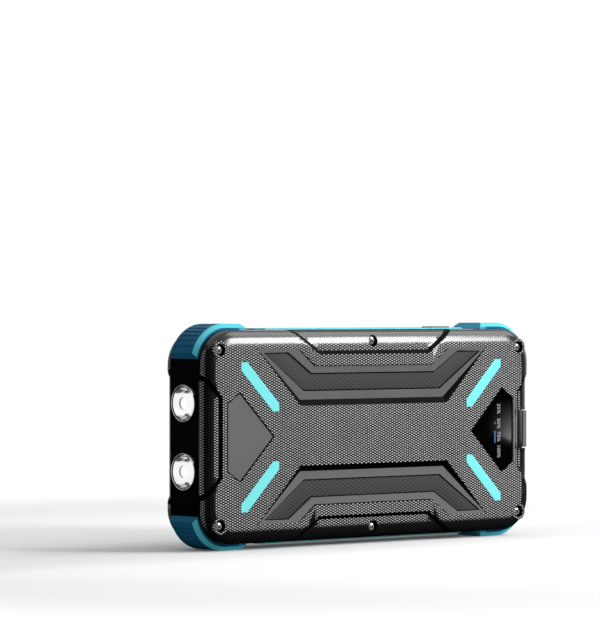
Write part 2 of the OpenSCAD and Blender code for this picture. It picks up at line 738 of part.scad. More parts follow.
module frame_walls() {
    difference() {
        slab(round_rect(half_l, half_w, corner_r), frame_low, frame_top);
        slab(round_rect(bay_l, bay_w, bay_r), frame_low - over, frame_top + over);
    }
    for (p = all_screws) translate([p[0], p[1], frame_low]) cylinder(h = frame_top - frame_low, r = boss_r);
    both_sides() translate([-boss_r, mid_screw_y, frame_low])
        cube([2 * boss_r, mid_screw_gap - side_wall / 2, frame_top - frame_low]);
}
module mid_frame() {
    color(frame_silver) stand() difference() {
        frame_walls();
        for (s = [0, 1]) mirror([s, 0, 0]) translate([end_seat, -end_half, frame_low - over])
            cube([end_recess + over, 2 * end_half, total_t]);
        gasket_ring(gasket_w / 2, gasket_eye_r, frame_top + over);
        for (j = [-1, 1]) grip_place(j)
            slab(cut_rect(grip_l / 2 + fit_gap, grip_w / 2 + fit_gap, grip_cut), grip_base, half_w + over);
        grip_place(1) translate([button_x, 0, 0]) button_hole(half_w);
        for (j = [-1, 1]) translate([-half_l, j * lamp_pitch / 2, plate_mid]) rotate([0, 90, 0])
            cylinder(h = end_recess + 2 * end_web, r = lamp_r + fit_gap);
        translate([bay_l - over, -usb_a_y - usb_a_w / 2 - over, -usb_a_h / 2 - fit_gap])
            cube([end_recess + end_web, 2 * usb_a_y + usb_a_w + 2 * over, usb_a_h + 2 * fit_gap]);
        for (p = all_screws) translate([p[0], p[1], frame_top - screw_l])
            cylinder(h = screw_l + over, r = screw_bite_r);
    }
}

// Gasket in the middle of the frame's walls, with an eye round each corner screw
function gasket_line(out) =
    round_rect(end_seat - end_web / 2 + out, half_w - side_wall / 2 + out, gasket_r + out);
module gasket_ring(half, eye, top) {
    difference() {
        slab(gasket_line(half), frame_top - gasket_h, top);
        slab(gasket_line(-half), 0, half_t);
    }
    for (p = corner_screws) translate([p[0], p[1], frame_top - gasket_h])
        cylinder(h = top - frame_top + gasket_h, r = eye);
}
module cover_gasket() {
    color(gloss_black) stand() difference() {
        gasket_ring(gasket_w / 2 - run_gap, gasket_eye_r - run_gap, frame_top);
        for (p = corner_screws) translate(p) cylinder(h = half_t, r = screw_hole_r);
    }
}

// Corner bumper: a bevelled band round the corner, cut on a slant at both ends, with grooves across it
bumper_in = corner_r + run_gap;
bumper_out = corner_r + bumper_proud;
bumper_lip = 0.4;
bumper_start = asin((corner_r - bumper_end_reach) / bumper_out);
bumper_arm = bumper_side_reach - corner_r;
groove_step = groove_pitch / bumper_out * 180 / PI;
groove_end = 1;
groove_l = bumper_d - 2 * bumper_bevel - 2 * groove_end;
groove_margin = 1.6;
function bumper_section() = let (h = bumper_d / 2, b = bumper_bevel)
    [[bumper_in, -h], [bumper_out - b, -h], [bumper_out, b - h], [bumper_out, h - b],
    [bumper_out - b, h], [bumper_in, h]];
module groove() {
    translate([0, bumper_out + groove_r / 3, 0]) cylinder(h = groove_l, r = groove_r, center = true);
}
module bumper() {
    translate([half_l - corner_r, half_w - corner_r, 0]) difference() {
        mirror([1, -1, 0]) {
            rotate_extrude(angle = 90 - bumper_start) polygon(bumper_section());
            rotate([90, 0, 0]) linear_extrude(bumper_arm) polygon(bumper_section());
        }
        translate([-bumper_arm, bumper_in + bumper_lip, -bumper_d]) rotate([0, 0, 45])
            translate([-bumper_d, 0, 0]) cube(2 * bumper_d);
        rotate([0, 0, bumper_start]) translate([bumper_in + bumper_lip, 0, -bumper_d]) rotate([0, 0, 45])
            translate([-bumper_d, -2 * bumper_d, 0]) cube(2 * bumper_d);
        for (turn = [0:groove_step:90 - bumper_start - groove_margin * groove_step])
            rotate([0, 0, -turn]) groove();
        for (x = [groove_pitch:groove_pitch:bumper_arm - groove_margin * groove_pitch])
            translate([-x, 0, 0]) groove();
    }
}
module bumper_lamp_top() {
    color(bumper_blue) stand() in_quarter(-1, 1) bumper();
}
module bumper_lamp_bottom() {
    color(bumper_blue) stand() in_quarter(-1, -1) bumper();
}
module bumper_port_top() {
    color(bumper_blue) stand() in_quarter(1, 1) bumper();
}
module bumper_port_bottom() {
    color(bumper_blue) stand() in_quarter(1, -1) bumper();
}

// Side grips, drawn with z pointing out of the long side
module grip_place(side) {
    rotate([-90 * side, 0, 0]) children();
}
module stroke(from, to) {
    run = to - from;
    translate([from[0], from[1], grip_out - line_depth]) rotate([0, 0, atan2(run[1], run[0])])
        translate([0, -line_w / 2, 0]) cube([norm(run), line_w, over]);
}
module chevrons() {
    edge = grip_w / 2 - chevron_margin;
    for (k = [0:chevron_count - 1]) for (s = [-1, 1]) {
        x = grip_l / 2 - chevron_end - k * chevron_pitch;
        stroke([x, s * (edge - chevron_size[1])], [x - chevron_size[0], s * edge]);
    }
}
module long_lines() {
    mid = grip_l / 2 - line_end;
    outer = mid - side_line_end;
    stroke([-mid, 0], [mid, 0]);
    for (s = [-1, 1]) for (e = [-1, 1]) {
        stroke([e * outer, s * side_line_y], [0, s * side_line_y]);
        stroke([e * outer, s * side_line_y], [e * (outer + line_hook[0]), s * (side_line_y - line_hook[1])]);
    }
}
module button_hole(h) {
    pill(button_l + 2 * move_gap, button_w + 2 * move_gap, h);
}
module grip(with_button) {
    difference() {
        loft([for (b = [0, 0, grip_bevel]) cut_rect(grip_l / 2 - b, grip_w / 2 - b, grip_cut - b / 2)],
            [grip_base, grip_out - grip_bevel, grip_out]);
        if (with_button) translate([button_x, 0, 0]) button_hole(half_w + over);
        if (!with_button) chevrons();
        mirror([1, 0, 0]) chevrons();
        long_lines();
    }
}
module side_grip_top() {
    color(grip_blue) stand() grip_place(1) grip(true);
}
module side_grip_bottom() {
    color(grip_blue) stand() grip_place(-1) grip(false);
}

module accent_strip(sx, sy) {
    color(strip_cyan) stand() in_quarter(sx, sy) slab(strip_outline(fit_gap), half_t - strip_t, half_t);
}
module accent_strip_lamp_top() {
    accent_strip(-1, 1);
}
module accent_strip_lamp_bottom() {
    accent_strip(-1, -1);
}
module accent_strip_port_top() {
    accent_strip(1, 1);
}
module accent_strip_port_bottom() {
    accent_strip(1, -1);
}

module diamond_plate() {
    color(plain_grey) stand() mirror([1, 0, 0])
        slab(diamond_outline(2 * fit_gap), half_t - diamond_sink - plate_t, half_t - diamond_sink);
}
module indicator_window() {
    color(gloss_black) stand()
        slab(diamond_outline(2 * fit_gap), half_t - diamond_sink - window_t, half_t - diamond_sink);
}

module cross_screw(seat) {
    translate([0, 0, seat - screw_l]) cylinder(h = screw_l, r = screw_r);
    difference() {
        translate([0, 0, seat])
            cylinder(h = screw_head_h, r1 = screw_head_r, r2 = screw_head_r * screw_taper);
        for (turn = [0, 90]) translate([0, 0, seat + screw_head_h]) rotate([0, 0, turn])
            cube(cross_size, center = true);
    }
}
module cover_screws() {
    color(chrome_grey) stand() {
        for (p = corner_screws) translate(p) cross_screw(half_t - screw_sink);
        for (p = mid_screws) translate(p) cross_screw(half_t - mid_screw_sink);
    }
}

// End plates, drawn at the +x end and standing against the frame's end
module end_blank() {
    b = (frame_top - frame_low) / 2 - fit_gap;
    difference() {
        translate([0, 0, (frame_top + frame_low) / 2]) rotate([90, 0, 90])
            slab(round_rect(end_half - 2 * fit_gap, b, end_corner_r), end_seat, end_face);
        skirt(fit_gap);
    }
}
module lamp_end_plate() {
    color(gloss_black) stand() mirror([1, 0, 0]) difference() {
        end_blank();
        for (j = [-1, 1]) translate([end_seat - over, j * lamp_pitch / 2, plate_mid]) rotate([0, 90, 0])
            cylinder(h = end_plate_t + 2 * over, r = lamp_r + fit_gap);
    }
}
module port_end_plate() {
    floor_low = hinge_h - flap_t / 2 - 2 * move_gap;
    color(gloss_black) stand() difference() {
        union() {
            end_blank();
            both_sides() translate([hinge_x, flap_half + move_gap, hinge_h]) rotate([-90, 0, 0])
                cylinder(h = ear_l, r = ear_r);
        }
        translate([flap_floor, -flap_half - move_gap, floor_low])
            cube([end_plate_t, flap_w + 2 * move_gap, total_t]);
        both_sides() translate([end_seat - over, usb_a_y - usb_a_w / 2 - fit_gap, -usb_a_h / 2 - fit_gap])
            cube([total_t, usb_a_w + 2 * fit_gap, usb_a_h + 2 * fit_gap]);
        translate([0, 0, usb_c_mid]) rotate([90, 0, 90])
            slab(round_rect(usb_c_w / 2 + fit_gap, usb_c_h / 2 + fit_gap, usb_c_h / 2),
                end_seat - over, half_l);
        translate([hinge_x, 0, hinge_h]) rotate([90, 0, 0])
            cylinder(h = flap_w + 2 * move_gap + 2 * pin_l, r = pin_r + run_gap, center = true);
    }
}

// Port cover: a flap on two pins, with a pull tab in the thumb recess and a plug for each socket
module plug(w, h, y, z) {
    translate([hinge_x - flap_t / 2 - plug_d, y - w / 2, z - h / 2]) cube([plug_d + flap_t / 2, w, h]);
}
module port_cover() {
    tip = skirt_low + tab_reach;
    color(plain_grey) stand() {
        translate([hinge_x, 0, hinge_h]) rotate([90, 0, 0]) {
            cylinder(h = flap_w, r = flap_t / 2, center = true);
            cylinder(h = flap_w + 2 * move_gap + 2 * pin_l - 2 * fit_gap, r = pin_r, center = true);
        }
        translate([hinge_x - flap_t / 2, -flap_half, hinge_h]) cube([flap_t, flap_w, flap_top - hinge_h]);
        translate([hinge_x - flap_t / 2, -tab_w / 2, flap_top - over])
            cube([flap_t, tab_w, tip - flap_top + over]);
        for (j = [-1, 1]) plug(usb_a_w - 2 * plug_gap, usb_a_h - 2 * plug_gap, j * usb_a_y, 0);
        plug(usb_c_w - 2 * usb_c_plug_gap, usb_c_h - 2 * usb_c_plug_gap, 0, usb_c_mid);
    }
}

module usb_a_socket(side) {
    color(chrome_grey) stand() translate([usb_front - usb_a_d, side * usb_a_y, 0]) difference() {
        translate([0, -usb_a_w / 2, -usb_a_h / 2]) cube([usb_a_d, usb_a_w, usb_a_h]);
        translate([usb_wall, usb_wall - usb_a_w / 2, usb_wall - usb_a_h / 2])
            cube([usb_a_d, usb_a_w - 2 * usb_wall, usb_a_h - 2 * usb_wall]);
    }
}
module usb_a_socket_top() {
    usb_a_socket(1);
}
module usb_a_socket_bottom() {
    usb_a_socket(-1);
}
module usb_c_shape(in, low, high) {
    slab(round_rect(usb_c_w / 2 - in, usb_c_h / 2 - in, usb_c_r - in, 6), low, high);
}
module usb_c_socket() {
    color(chrome_grey) stand() translate([usb_front - usb_c_d, 0, usb_c_mid]) rotate([90, 0, 90])
        difference() {
            usb_c_shape(0, 0, usb_c_d);
            usb_c_shape(usb_c_wall, usb_c_wall, usb_c_d + over);
        }
}
// A socket's tongue and the block at its root, from the back of the socket's inside
module tongue(back, depth, block, size, rise) {
    translate([back, -block[0] / 2, -block[1] / 2]) cube([depth / 4, block[0], block[1]]);
    translate([back, -size[0] / 2, rise - size[1] / 2]) cube([depth, size[0], size[1]]);
}
module usb_tongues() {
    in = 2 * usb_wall + run_gap;
    color(strip_cyan * 0.4) stand() {
        for (j = [-1, 1]) translate([0, j * usb_a_y, 0])
            tongue(usb_front - usb_a_d + usb_wall, usb_a_d - tongue_in, [usb_a_w - in, usb_a_h - in],
                usb_a_tongue, usb_a_tongue_rise);
        translate([0, 0, usb_c_mid])
            tongue(usb_front - usb_c_d + usb_c_wall, usb_c_d - tongue_in,
                [usb_c_w - usb_c_h, usb_c_h - 2 * usb_c_wall - run_gap], usb_c_tongue, 0);
    }
}

// Main board, cut away round the screw bosses at the port end
module main_board() {
    cut_x = screw_x - boss_r - over;
    cut_y = screw_y - boss_r - over;
    b = board_half;
    color(board_green) stand() difference() {
        slab([[board_x0, -b], [cut_x, -b], [cut_x, -cut_y], [board_x1, -cut_y], [board_x1, cut_y],
            [cut_x, cut_y], [cut_x, b], [board_x0, b]], board_low, board_top);
        for (p = standoffs) translate(p) cylinder(h = half_t, r = screw_bite_r);
    }
}
module board_block(x, y, size) {
    both_sides() translate([x, y - size[1] / 2, board_top]) cube(size);
}
module board_parts() {
    color(cell_grey) stand() {
        both_sides() translate([board_x0 + coil_in, stand_y - coil_side, board_top])
            cylinder(h = coil_h, r = coil_r);
        board_block(board_x0 + chip_in, chip_size[1], chip_size);
        board_block(board_x0 + cap_in, cap_y, cap_size);
        board_block(window_x - guide_l, guide_w / 2 + driver_size[1], driver_size);
    }
}
module board_screws() {
    color(chrome_grey) stand() for (p = standoffs) translate(p) cross_screw(board_top);
}

// Power button in the upper grip, with the switch that it presses
module power_button() {
    color(gloss_black) stand() grip_place(1) translate([button_x, 0, flange_in]) {
        pill(button_l + 2 * flange_lap, button_w + 2 * flange_lap, flange_out - flange_in);
        pill(button_l, button_w, grip_out + button_proud - flange_in);
    }
}
module button_switch() {
    color(cell_grey) stand() difference() {
        translate([button_x - switch_size[0] / 2, switch_front - switch_size[1], board_low - switch_size[2]])
            cube(switch_size);
        translate([button_x, switch_front + over, 0]) rotate([90, 0, 0])
            cylinder(h = plunger_in + button_travel + move_gap + over, r = plunger_r + run_gap);
    }
}
module switch_plunger() {
    color(white_grey) stand() translate([button_x, flange_in, 0]) rotate([90, 0, 0])
        cylinder(h = switch_gap + plunger_in, r = plunger_r);
}

module indicator_leds() {
    color(white_grey) stand() for (k = [-1.5:1.5])
        translate([window_x - led_w / 2, k * led_pitch - led_w / 2, board_top]) cube([led_w, led_w, led_h]);
}
module light_guide() {
    low = board_top + led_h + led_gap;
    color(clear_grey) stand() {
        translate([window_x - guide_l / 2, -guide_w / 2, low])
            cube([guide_l, guide_w, half_t - diamond_sink - window_t - low]);
        translate([window_x - guide_l / 2 - guide_lap, -guide_w / 2 - guide_lap, cover_under - guide_lip])
            cube([guide_l + 2 * guide_lap, guide_w + 2 * guide_lap, guide_lip]);
    }
}

// Lamps, drawn from their board with z pointing out of the -x end
module at_lamp(side) {
    translate([-lamp_x, side * lamp_pitch / 2, plate_mid]) rotate([0, -90, 0]) children();
}
function cup_r(z) = cup_base_r + (cup_rim_r - cup_base_r) * sqrt(z / cup_h);
module lamp_reflector(side) {
    seat_r = lamp_r - lens_ledge;
    low = cup_h - cup_lip;
    inner = [for (k = [0:cup_steps]) let (z = cup_h * pow(k / cup_steps, 2)) [cup_r(z), z]];
    rim = [[seat_r, cup_h], [seat_r, lamp_depth], [lamp_r, lamp_depth], [lamp_r, low]];
    outer = [for (k = [cup_steps:-1:0]) let (z = low * pow(k / cup_steps, 2)) [cup_r(z) + cup_wall, z]];
    color(chrome_grey) stand() at_lamp(side) rotate_extrude() polygon(concat(inner, rim, outer));
}
module lamp_reflector_top() {
    lamp_reflector(1);
}
module lamp_reflector_bottom() {
    lamp_reflector(-1);
}
// Lens with the solid optic behind it that gathers the light of the LED
module lamp_lens(side) {
    top = cup_h + lens_t;
    cone = [for (k = [0:cup_steps]) let (z = optic_foot + (cup_h - optic_foot) * k / cup_steps)
        [cup_r(z) - optic_gap, z]];
    front = [[lens_r, cup_h], [lens_r, top], [eye_r, top], [eye_r, top - eye_depth], [0, top - eye_depth]];
    color(clear_grey) stand() at_lamp(side) rotate_extrude() polygon(concat([[0, optic_foot]], cone, front));
}
module lamp_lens_top() {
    lamp_lens(1);
}
module lamp_lens_bottom() {
    lamp_lens(-1);
}
module lamp_leds() {
    color(white_grey) stand() for (j = [-1, 1]) at_lamp(j) {
        translate([-lamp_led_w / 2, -lamp_led_w / 2, 0]) cube([lamp_led_w, lamp_led_w, lamp_led_h]);
        intersection() {
            translate([0, 0, lamp_led_h - lamp_dome_sink]) sphere(r = lamp_dome_r);
            cylinder(h = 2 * lamp_dome_r, r = lamp_dome_r);
        }
    }
}
module lamp_board() {
    color(board_green) stand() translate([-lamp_x, -lamp_board_w / 2, frame_low])
        cube([lamp_board_t, lamp_board_w, lamp_board_top - frame_low]);
}

// Solar panel: board, cells and the clear sheet that covers them
module cell_grid(grow, h) {
    first = -(cell_rows - 1) / 2 * cell_pitch;
    for (k = [0:cell_rows - 1]) for (j = [-1, 1])
        translate([first + k * cell_pitch, j * (cell_gap + cell_w) / 2, panel_seat - cell_board_t - h / 2])
            cube([cell_l + 2 * grow, cell_w + 2 * grow, h], center = true);
}
module panel_slab(low, high) {
    slab(round_rect(panel_l / 2, panel_w / 2, panel_r), low, high);
}
module cell_board() {
    color(gloss_black) stand() panel_slab(panel_seat - cell_board_t, panel_seat);
}
module solar_cells() {
    color(cell_grey) stand() cell_grid(0, cell_t);
}
module clear_sheet() {
    color(clear_grey) stand() difference() {
        panel_slab(panel_seat - cell_board_t - sheet_t, panel_seat - cell_board_t);
        cell_grid(run_gap, cell_t + run_gap);
    }
}

// Pouch cells on tape, with foam between them
module battery_slab(low, high, inset) {
    half = (battery_x1 - battery_x0) / 2;
    translate([(battery_x0 + battery_x1) / 2, 0, 0])
        slab(round_rect(half - inset, battery_half - inset, battery_r, 4), low, high);
}
module battery_cell_lower() {
    color(chrome_grey) stand() battery_slab(battery_low, battery_low + battery_t, 0);
}
module battery_cell_upper() {
    low = battery_low + battery_t + foam_t;
    color(chrome_grey) stand() battery_slab(low, low + battery_t, 0);
}
module battery_foam() {
    color(cell_grey) stand() battery_slab(battery_low + battery_t, battery_low + battery_t + foam_t, foam_in);
}
module battery_tape() {
    color(white_grey) stand() battery_slab(frame_low, battery_low, tape_in);
}

module battery_leads() {
    color(lead_red) stand() both_sides() {
        translate([0, upper_lead_y, 0]) lead(upper_cell_route, lead_r);
        translate([0, lower_lead_y, 0]) lead(lower_cell_route, lead_r);
    }
}
module solar_leads() {
    color(lead_red) stand() for (s = [-1, 1]) translate([0, s * solar_lead_y, 0]) lead(solar_route, lead_r);
}
module lamp_leads() {
    color(shell_black) stand() for (k = [0, 1])
        lead(concat([for (p = lamp_route) p + [0, 0, lamp_lead_h[k]]], lamp_ends[k]), lead_r, [0, 0, 1]);
}

back_cover();
solar_bezel();
mid_frame();
cover_gasket();
bumper_lamp_top();
bumper_lamp_bottom();
bumper_port_top();
bumper_port_bottom();
side_grip_top();
side_grip_bottom();
accent_strip_lamp_top();
accent_strip_lamp_bottom();
accent_strip_port_top();
accent_strip_port_bottom();
diamond_plate();
indicator_window();
cover_screws();
lamp_end_plate();
lamp_reflector_top();
lamp_reflector_bottom();
lamp_lens_top();
lamp_lens_bottom();
lamp_leds();
lamp_board();
cell_board();
solar_cells();
clear_sheet();
port_end_plate();
port_cover();
usb_a_socket_top();
usb_a_socket_bottom();
usb_c_socket();
usb_tongues();
main_board();
board_parts();
board_screws();
power_button();
button_switch();
switch_plunger();
indicator_leds();
light_guide();
battery_cell_upper();
battery_cell_lower();
battery_foam();
battery_tape();
battery_leads();
solar_leads();
lamp_leads();
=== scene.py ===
import math

import bpy
import numpy as np
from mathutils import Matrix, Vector
from mathutils.geometry import delaunay_2d_cdt


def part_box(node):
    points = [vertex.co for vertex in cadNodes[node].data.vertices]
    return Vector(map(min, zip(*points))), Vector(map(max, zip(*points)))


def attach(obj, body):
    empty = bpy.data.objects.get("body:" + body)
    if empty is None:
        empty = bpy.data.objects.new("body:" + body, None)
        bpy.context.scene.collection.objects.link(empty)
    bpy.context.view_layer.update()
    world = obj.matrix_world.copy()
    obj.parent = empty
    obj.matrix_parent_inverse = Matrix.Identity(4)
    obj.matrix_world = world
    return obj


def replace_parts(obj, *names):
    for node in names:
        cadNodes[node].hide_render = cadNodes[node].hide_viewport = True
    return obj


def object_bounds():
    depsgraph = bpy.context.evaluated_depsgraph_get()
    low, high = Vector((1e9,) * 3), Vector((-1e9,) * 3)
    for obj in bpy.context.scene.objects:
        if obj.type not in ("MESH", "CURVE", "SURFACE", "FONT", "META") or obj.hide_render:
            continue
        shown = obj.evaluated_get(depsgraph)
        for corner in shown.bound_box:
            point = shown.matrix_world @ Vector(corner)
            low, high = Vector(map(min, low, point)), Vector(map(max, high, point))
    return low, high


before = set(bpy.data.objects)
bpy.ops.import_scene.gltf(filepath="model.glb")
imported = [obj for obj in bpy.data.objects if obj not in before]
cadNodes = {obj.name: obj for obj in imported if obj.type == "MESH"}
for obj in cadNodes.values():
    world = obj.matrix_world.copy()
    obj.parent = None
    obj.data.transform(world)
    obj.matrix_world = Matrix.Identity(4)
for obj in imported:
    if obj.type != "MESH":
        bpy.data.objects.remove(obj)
cadLow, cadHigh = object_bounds()
mm = 0.001
midHeight = (cadLow.z + cadHigh.z) / 2  # the charger's centre line above the floor
print("frame loaded:", len(cadNodes), "nodes")


# places: x along the charger, v across it, h out of the back cover, all in mm
def spot(x, v, h):
    return Vector((x * mm, -h * mm, midHeight + v * mm))


def inMetres(values):
    return [value * mm for value in values]


def nodeSize(name):
    low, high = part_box(name)
    return low / mm, high / mm


coverLow, coverHigh = nodeSize("back_cover")
frameLow, frameHigh = nodeSize("mid_frame")
halfLength = coverHigh.x
halfWidth = (coverHigh.z - coverLow.z) / 2
faceHeight = -coverLow.y
frameTop = -frameLow.y


# shader helpers
def shade(red, green, blue):  # screen colour 0 to 255 to scene colour
    def linear(c):
        c /= 255
        return c / 12.92 if c <= 0.04045 else ((c + 0.055) / 1.055) ** 2.4

    return (linear(red), linear(green), linear(blue), 1.0)


def isSocket(value):
    return isinstance(value, bpy.types.NodeSocket)


def treeOf(*values):  # the node tree that the first socket is in
    return next(value.id_data for value in values if isSocket(value))


def fill(node, values):  # links sockets and sets plain values
    for key, value in values.items():
        if isSocket(value):
            node.id_data.links.new(value, node.inputs[key])
        else:
            node.inputs[key].default_value = value


def place(tree, kind, inputs=None, **settings):
    made = tree.nodes.new(kind)
    for key, value in settings.items():
        setattr(made, key, value)
    fill(made, inputs or {})
    return made


def calc(operation, a, b=0.0):
    return place(treeOf(a, b), "ShaderNodeMath", {0: a, 1: b}, operation=operation).outputs[0]


def plus(a, b):
    return calc("ADD", a, b)


def minus(a, b):
    return calc("SUBTRACT", a, b)


def times(a, b):
    return calc("MULTIPLY", a, b)


def over(a, b):
    return calc("DIVIDE", a, b)


def larger(a, b):
    return calc("MAXIMUM", a, b)


def absolute(a):
    return calc("ABSOLUTE", a)


def squareSum(a, b):
    return plus(times(a, a), times(b, b))


def choose(share, a, b):  # a where share is 1, b where it is 0
    return plus(times(a, share), times(b, minus(1.0, share)))


def ramp(value, low, high, outLow=0.0, outHigh=1.0, kind="SMOOTHSTEP"):
    inputs = {"Value": value, "From Min": low, "From Max": high, "To Min": outLow, "To Max": outHigh}
    return place(treeOf(value), "ShaderNodeMapRange", inputs, interpolation_type=kind).outputs["Result"]


def mixColour(factor, a, b):  # a and b are sockets or screen colours
    a, b = (value if isSocket(value) else shade(*value) for value in (a, b))
    return place(treeOf(factor), "ShaderNodeMix", {0: factor, 6: a, 7: b}, data_type="RGBA").outputs[2]


def onPiece(tree):  # place on the piece
    return place(tree, "ShaderNodeTexCoord").outputs["Object"]


def noiseAt(where, scale, detail):
    inputs = {"Vector": where, "Scale": scale, "Detail": detail}
    return place(treeOf(where), "ShaderNodeTexNoise", inputs).outputs["Fac"]


def startGroup(name, inputs, outputs):
    tree = bpy.data.node_groups.new(name, "ShaderNodeTree")
    for label, value in inputs.items():
        tree.interface.new_socket(label, in_out="INPUT", socket_type="NodeSocketFloat").default_value = value
    for label in outputs:
        tree.interface.new_socket(label, in_out="OUTPUT", socket_type="NodeSocketFloat")
    return tree, tree.nodes.new("NodeGroupInput").outputs, tree.nodes.new("NodeGroupOutput")


def useGroup(tree, group, **inputs):
    return place(tree, "ShaderNodeGroup", inputs, node_tree=group).outputs


def groupAxes(tree):  # place on the piece and the way the surface faces, each along x, y and z
    coords = place(tree, "ShaderNodeTexCoord").outputs
    return [place(tree, "ShaderNodeSeparateXYZ", {0: coords[kind]}).outputs for kind in ("Object", "Normal")]


# raised dots in staggered rows, on the faces, the ends and the long sides alike
dotRows = {"Pitch": 2.245, "Row": 0.49, "Size": 0.42}
# apart from wall, these facings set where painted shade darkens the dotted shell: its rounded edges, the long
# sides and both end roundings, with the end walls spared
dotTurns = {"wall": 0.75, "paintedShade": (0.966, 0.99), "portEnd": (0.015, 0.05), "lampEnd": (-0.14, -0.06),
            "side": (0.03, 0.14), "endWall": (0.8, 0.95)}  # the surface's facing at which the dots change


def makeDotGrain():
    tree, given, out = startGroup("dotGrain", dotRows, ["Dots", "Slope"])
    axes, facing = groupAxes(tree)
    alongX, alongY, alongZ = (absolute(way) for way in facing)
    across = choose(calc("GREATER_THAN", alongX, dotTurns["wall"]), axes[1], axes[0])
    upward = choose(calc("GREATER_THAN", alongZ, dotTurns["wall"]), axes[1], axes[2])
    a = over(times(across, 2 * math.pi / mm), given["Pitch"])
    b = over(times(upward, math.pi / mm), given["Row"])
    lattice = times(calc("COSINE", a), calc("COSINE", b))
    dots = ramp(lattice, minus(0.4, given["Size"]), 0.9)
    # painted shade: a mask that darkens the dots where the shell tilts away from the flat face, at the port
    # end, at the lamp end and on the long sides
    paintedShade = ramp(alongY, *dotTurns["paintedShade"], 1.0, 0.0)
    paintedShade = larger(paintedShade, ramp(facing[0], *dotTurns["portEnd"]))
    paintedShade = larger(paintedShade, ramp(facing[0], *dotTurns["lampEnd"], 1.0, 0.0))
    paintedShade = larger(paintedShade, ramp(alongZ, *dotTurns["side"]))
    steep = ramp(alongX, *dotTurns["endWall"], 1.0, 0.0)  # the end walls keep their dots
    fill(out, {"Dots": dots, "Slope": times(paintedShade, steep)})
    return tree


# fine moulded grain and slow changes of tone
def makeMouldGrain():
    tree, given, out = startGroup("mouldGrain", {"Grain": 2600.0, "Patch": 45.0}, ["Height", "Tone"])
    coords = onPiece(tree)
    tone = ramp(noiseAt(coords, given["Patch"], 3.0), 0.3, 0.7)
    fill(out, {"Height": noiseAt(coords, given["Grain"], 2.0), "Tone": tone})
    return tree


# rubbed edges, from how sharply the surface turns
def makeEdgeRub():
    tree, given, out = startGroup("edgeRub", {"Start": 0.52, "End": 0.6}, ["Mask"])
    turn = place(tree, "ShaderNodeNewGeometry").outputs["Pointiness"]
    rub = ramp(turn, given["Start"], given["End"], kind="LINEAR")
    fill(out, {"Mask": times(rub, noiseAt(onPiece(tree), 320.0, 3.0))})
    return tree


dotGrain = makeDotGrain()
mouldGrain = makeMouldGrain()
edgeRub = makeEdgeRub()


# finishes
def feed(surface, **values):
    fill(surface, {key.replace("_", " "): value for key, value in values.items()})


def startMaterial(name, **values):
    made = bpy.data.materials.new(name)
    made.use_nodes = True
    tree = made.node_tree
    surface = tree.nodes["Principled BSDF"]
    feed(surface, **values)
    return made, tree, surface


def setBump(surface, height, strength, distance=0.05 * mm):
    inputs = {"Height": height, "Strength": strength, "Distance": distance}
    feed(surface, Normal=place(treeOf(height), "ShaderNodeBump", inputs).outputs["Normal"])


finishes = {}


def addFinishes(make, looks):  # each look is the maker's values in order, then what else is set
    for name, (*values, more) in looks.items():
        finishes[name] = make(name, *values, **more)


# plain moulded finishes: two tones that drift into each other, a fine grain and a rubbed edge
def mouldedFinish(name, colour, other, rough, grain=2600.0, bump=0.15, rub=None, **values):
    made, tree, surface = startMaterial(name, **values)
    grainOut = useGroup(tree, mouldGrain, Grain=grain)
    tinted = mixColour(grainOut["Tone"], colour, other)
    if rub:
        tinted = mixColour(useGroup(tree, edgeRub)["Mask"], tinted, rub)
    feed(surface, Base_Color=tinted, Roughness=ramp(grainOut["Tone"], 0.0, 1.0, rough * 0.9, rough * 1.15))
    setBump(surface, grainOut["Height"], bump)
    return made


addFinishes(mouldedFinish, {
    "shellSmooth": ((4, 4, 5), (8, 8, 9), 0.5, {"bump": 0.04, "Specular_IOR_Level": 0.03}),
    "barGrey": ((102, 102, 102), (107, 107, 107), 0.5, {"bump": 0.12, "Specular_IOR_Level": 0.15}),
    "plateGrey": ((104, 104, 104), (109, 109, 109), 0.45, {"bump": 0.1, "Specular_IOR_Level": 0.15}),
    "windowBlack": ((3, 3, 4), (6, 6, 7), 0.035, {"bump": 0.002}),
    "endBlack": ((2, 2, 2), (5, 5, 5), 0.3, {"bump": 0.03, "Specular_IOR_Level": 0.02}),
    "gasketBlack": ((20, 20, 20), (30, 30, 30), 0.8, {}),
    "flapGrey": ((96, 96, 97), (104, 104, 105), 0.55, {"grain": 1800.0, "bump": 0.25}),
    "buttonBlack": ((24, 24, 25), (32, 32, 33), 0.4, {"rub": (70, 70, 72)}),
    "plungerWhite": ((225, 225, 220), (212, 212, 206), 0.5, {}),
    "tongueDark": ((34, 78, 120), (28, 66, 104), 0.45, {}),
    "partDark": ((28, 28, 29), (44, 44, 46), 0.5, {}),
    "boardGreen": ((18, 84, 46), (24, 100, 56), 0.35, {"grain": 900.0}),
    "panelBlack": ((56, 56, 57), (62, 62, 63), 0.45, {}),
    "foamGrey": ((70, 70, 72), (96, 96, 98), 0.95, {"grain": 1200.0, "bump": 0.6}),
    "tapeWhite": ((224, 224, 216), (206, 206, 198), 0.7, {}),
    "leadRed": ((176, 24, 22), (150, 18, 18), 0.45, {}),
    "leadBlack": ((24, 24, 24), (38, 38, 38), 0.45, {}),
    "ledBase": ((236, 234, 226), (222, 220, 212), 0.5, {}),
    "ledGlow": ((246, 236, 190), (250, 244, 214), 0.3, {}),
    "printWhite": ((188, 190, 193), (172, 174, 178), 0.5, {}),
    "printBlue": ((24, 104, 158), (34, 116, 170), 0.5, {}),
    "flagBlack": ((3, 3, 3), (5, 5, 5), 0.9, {"Specular_IOR_Level": 0.0}),
})
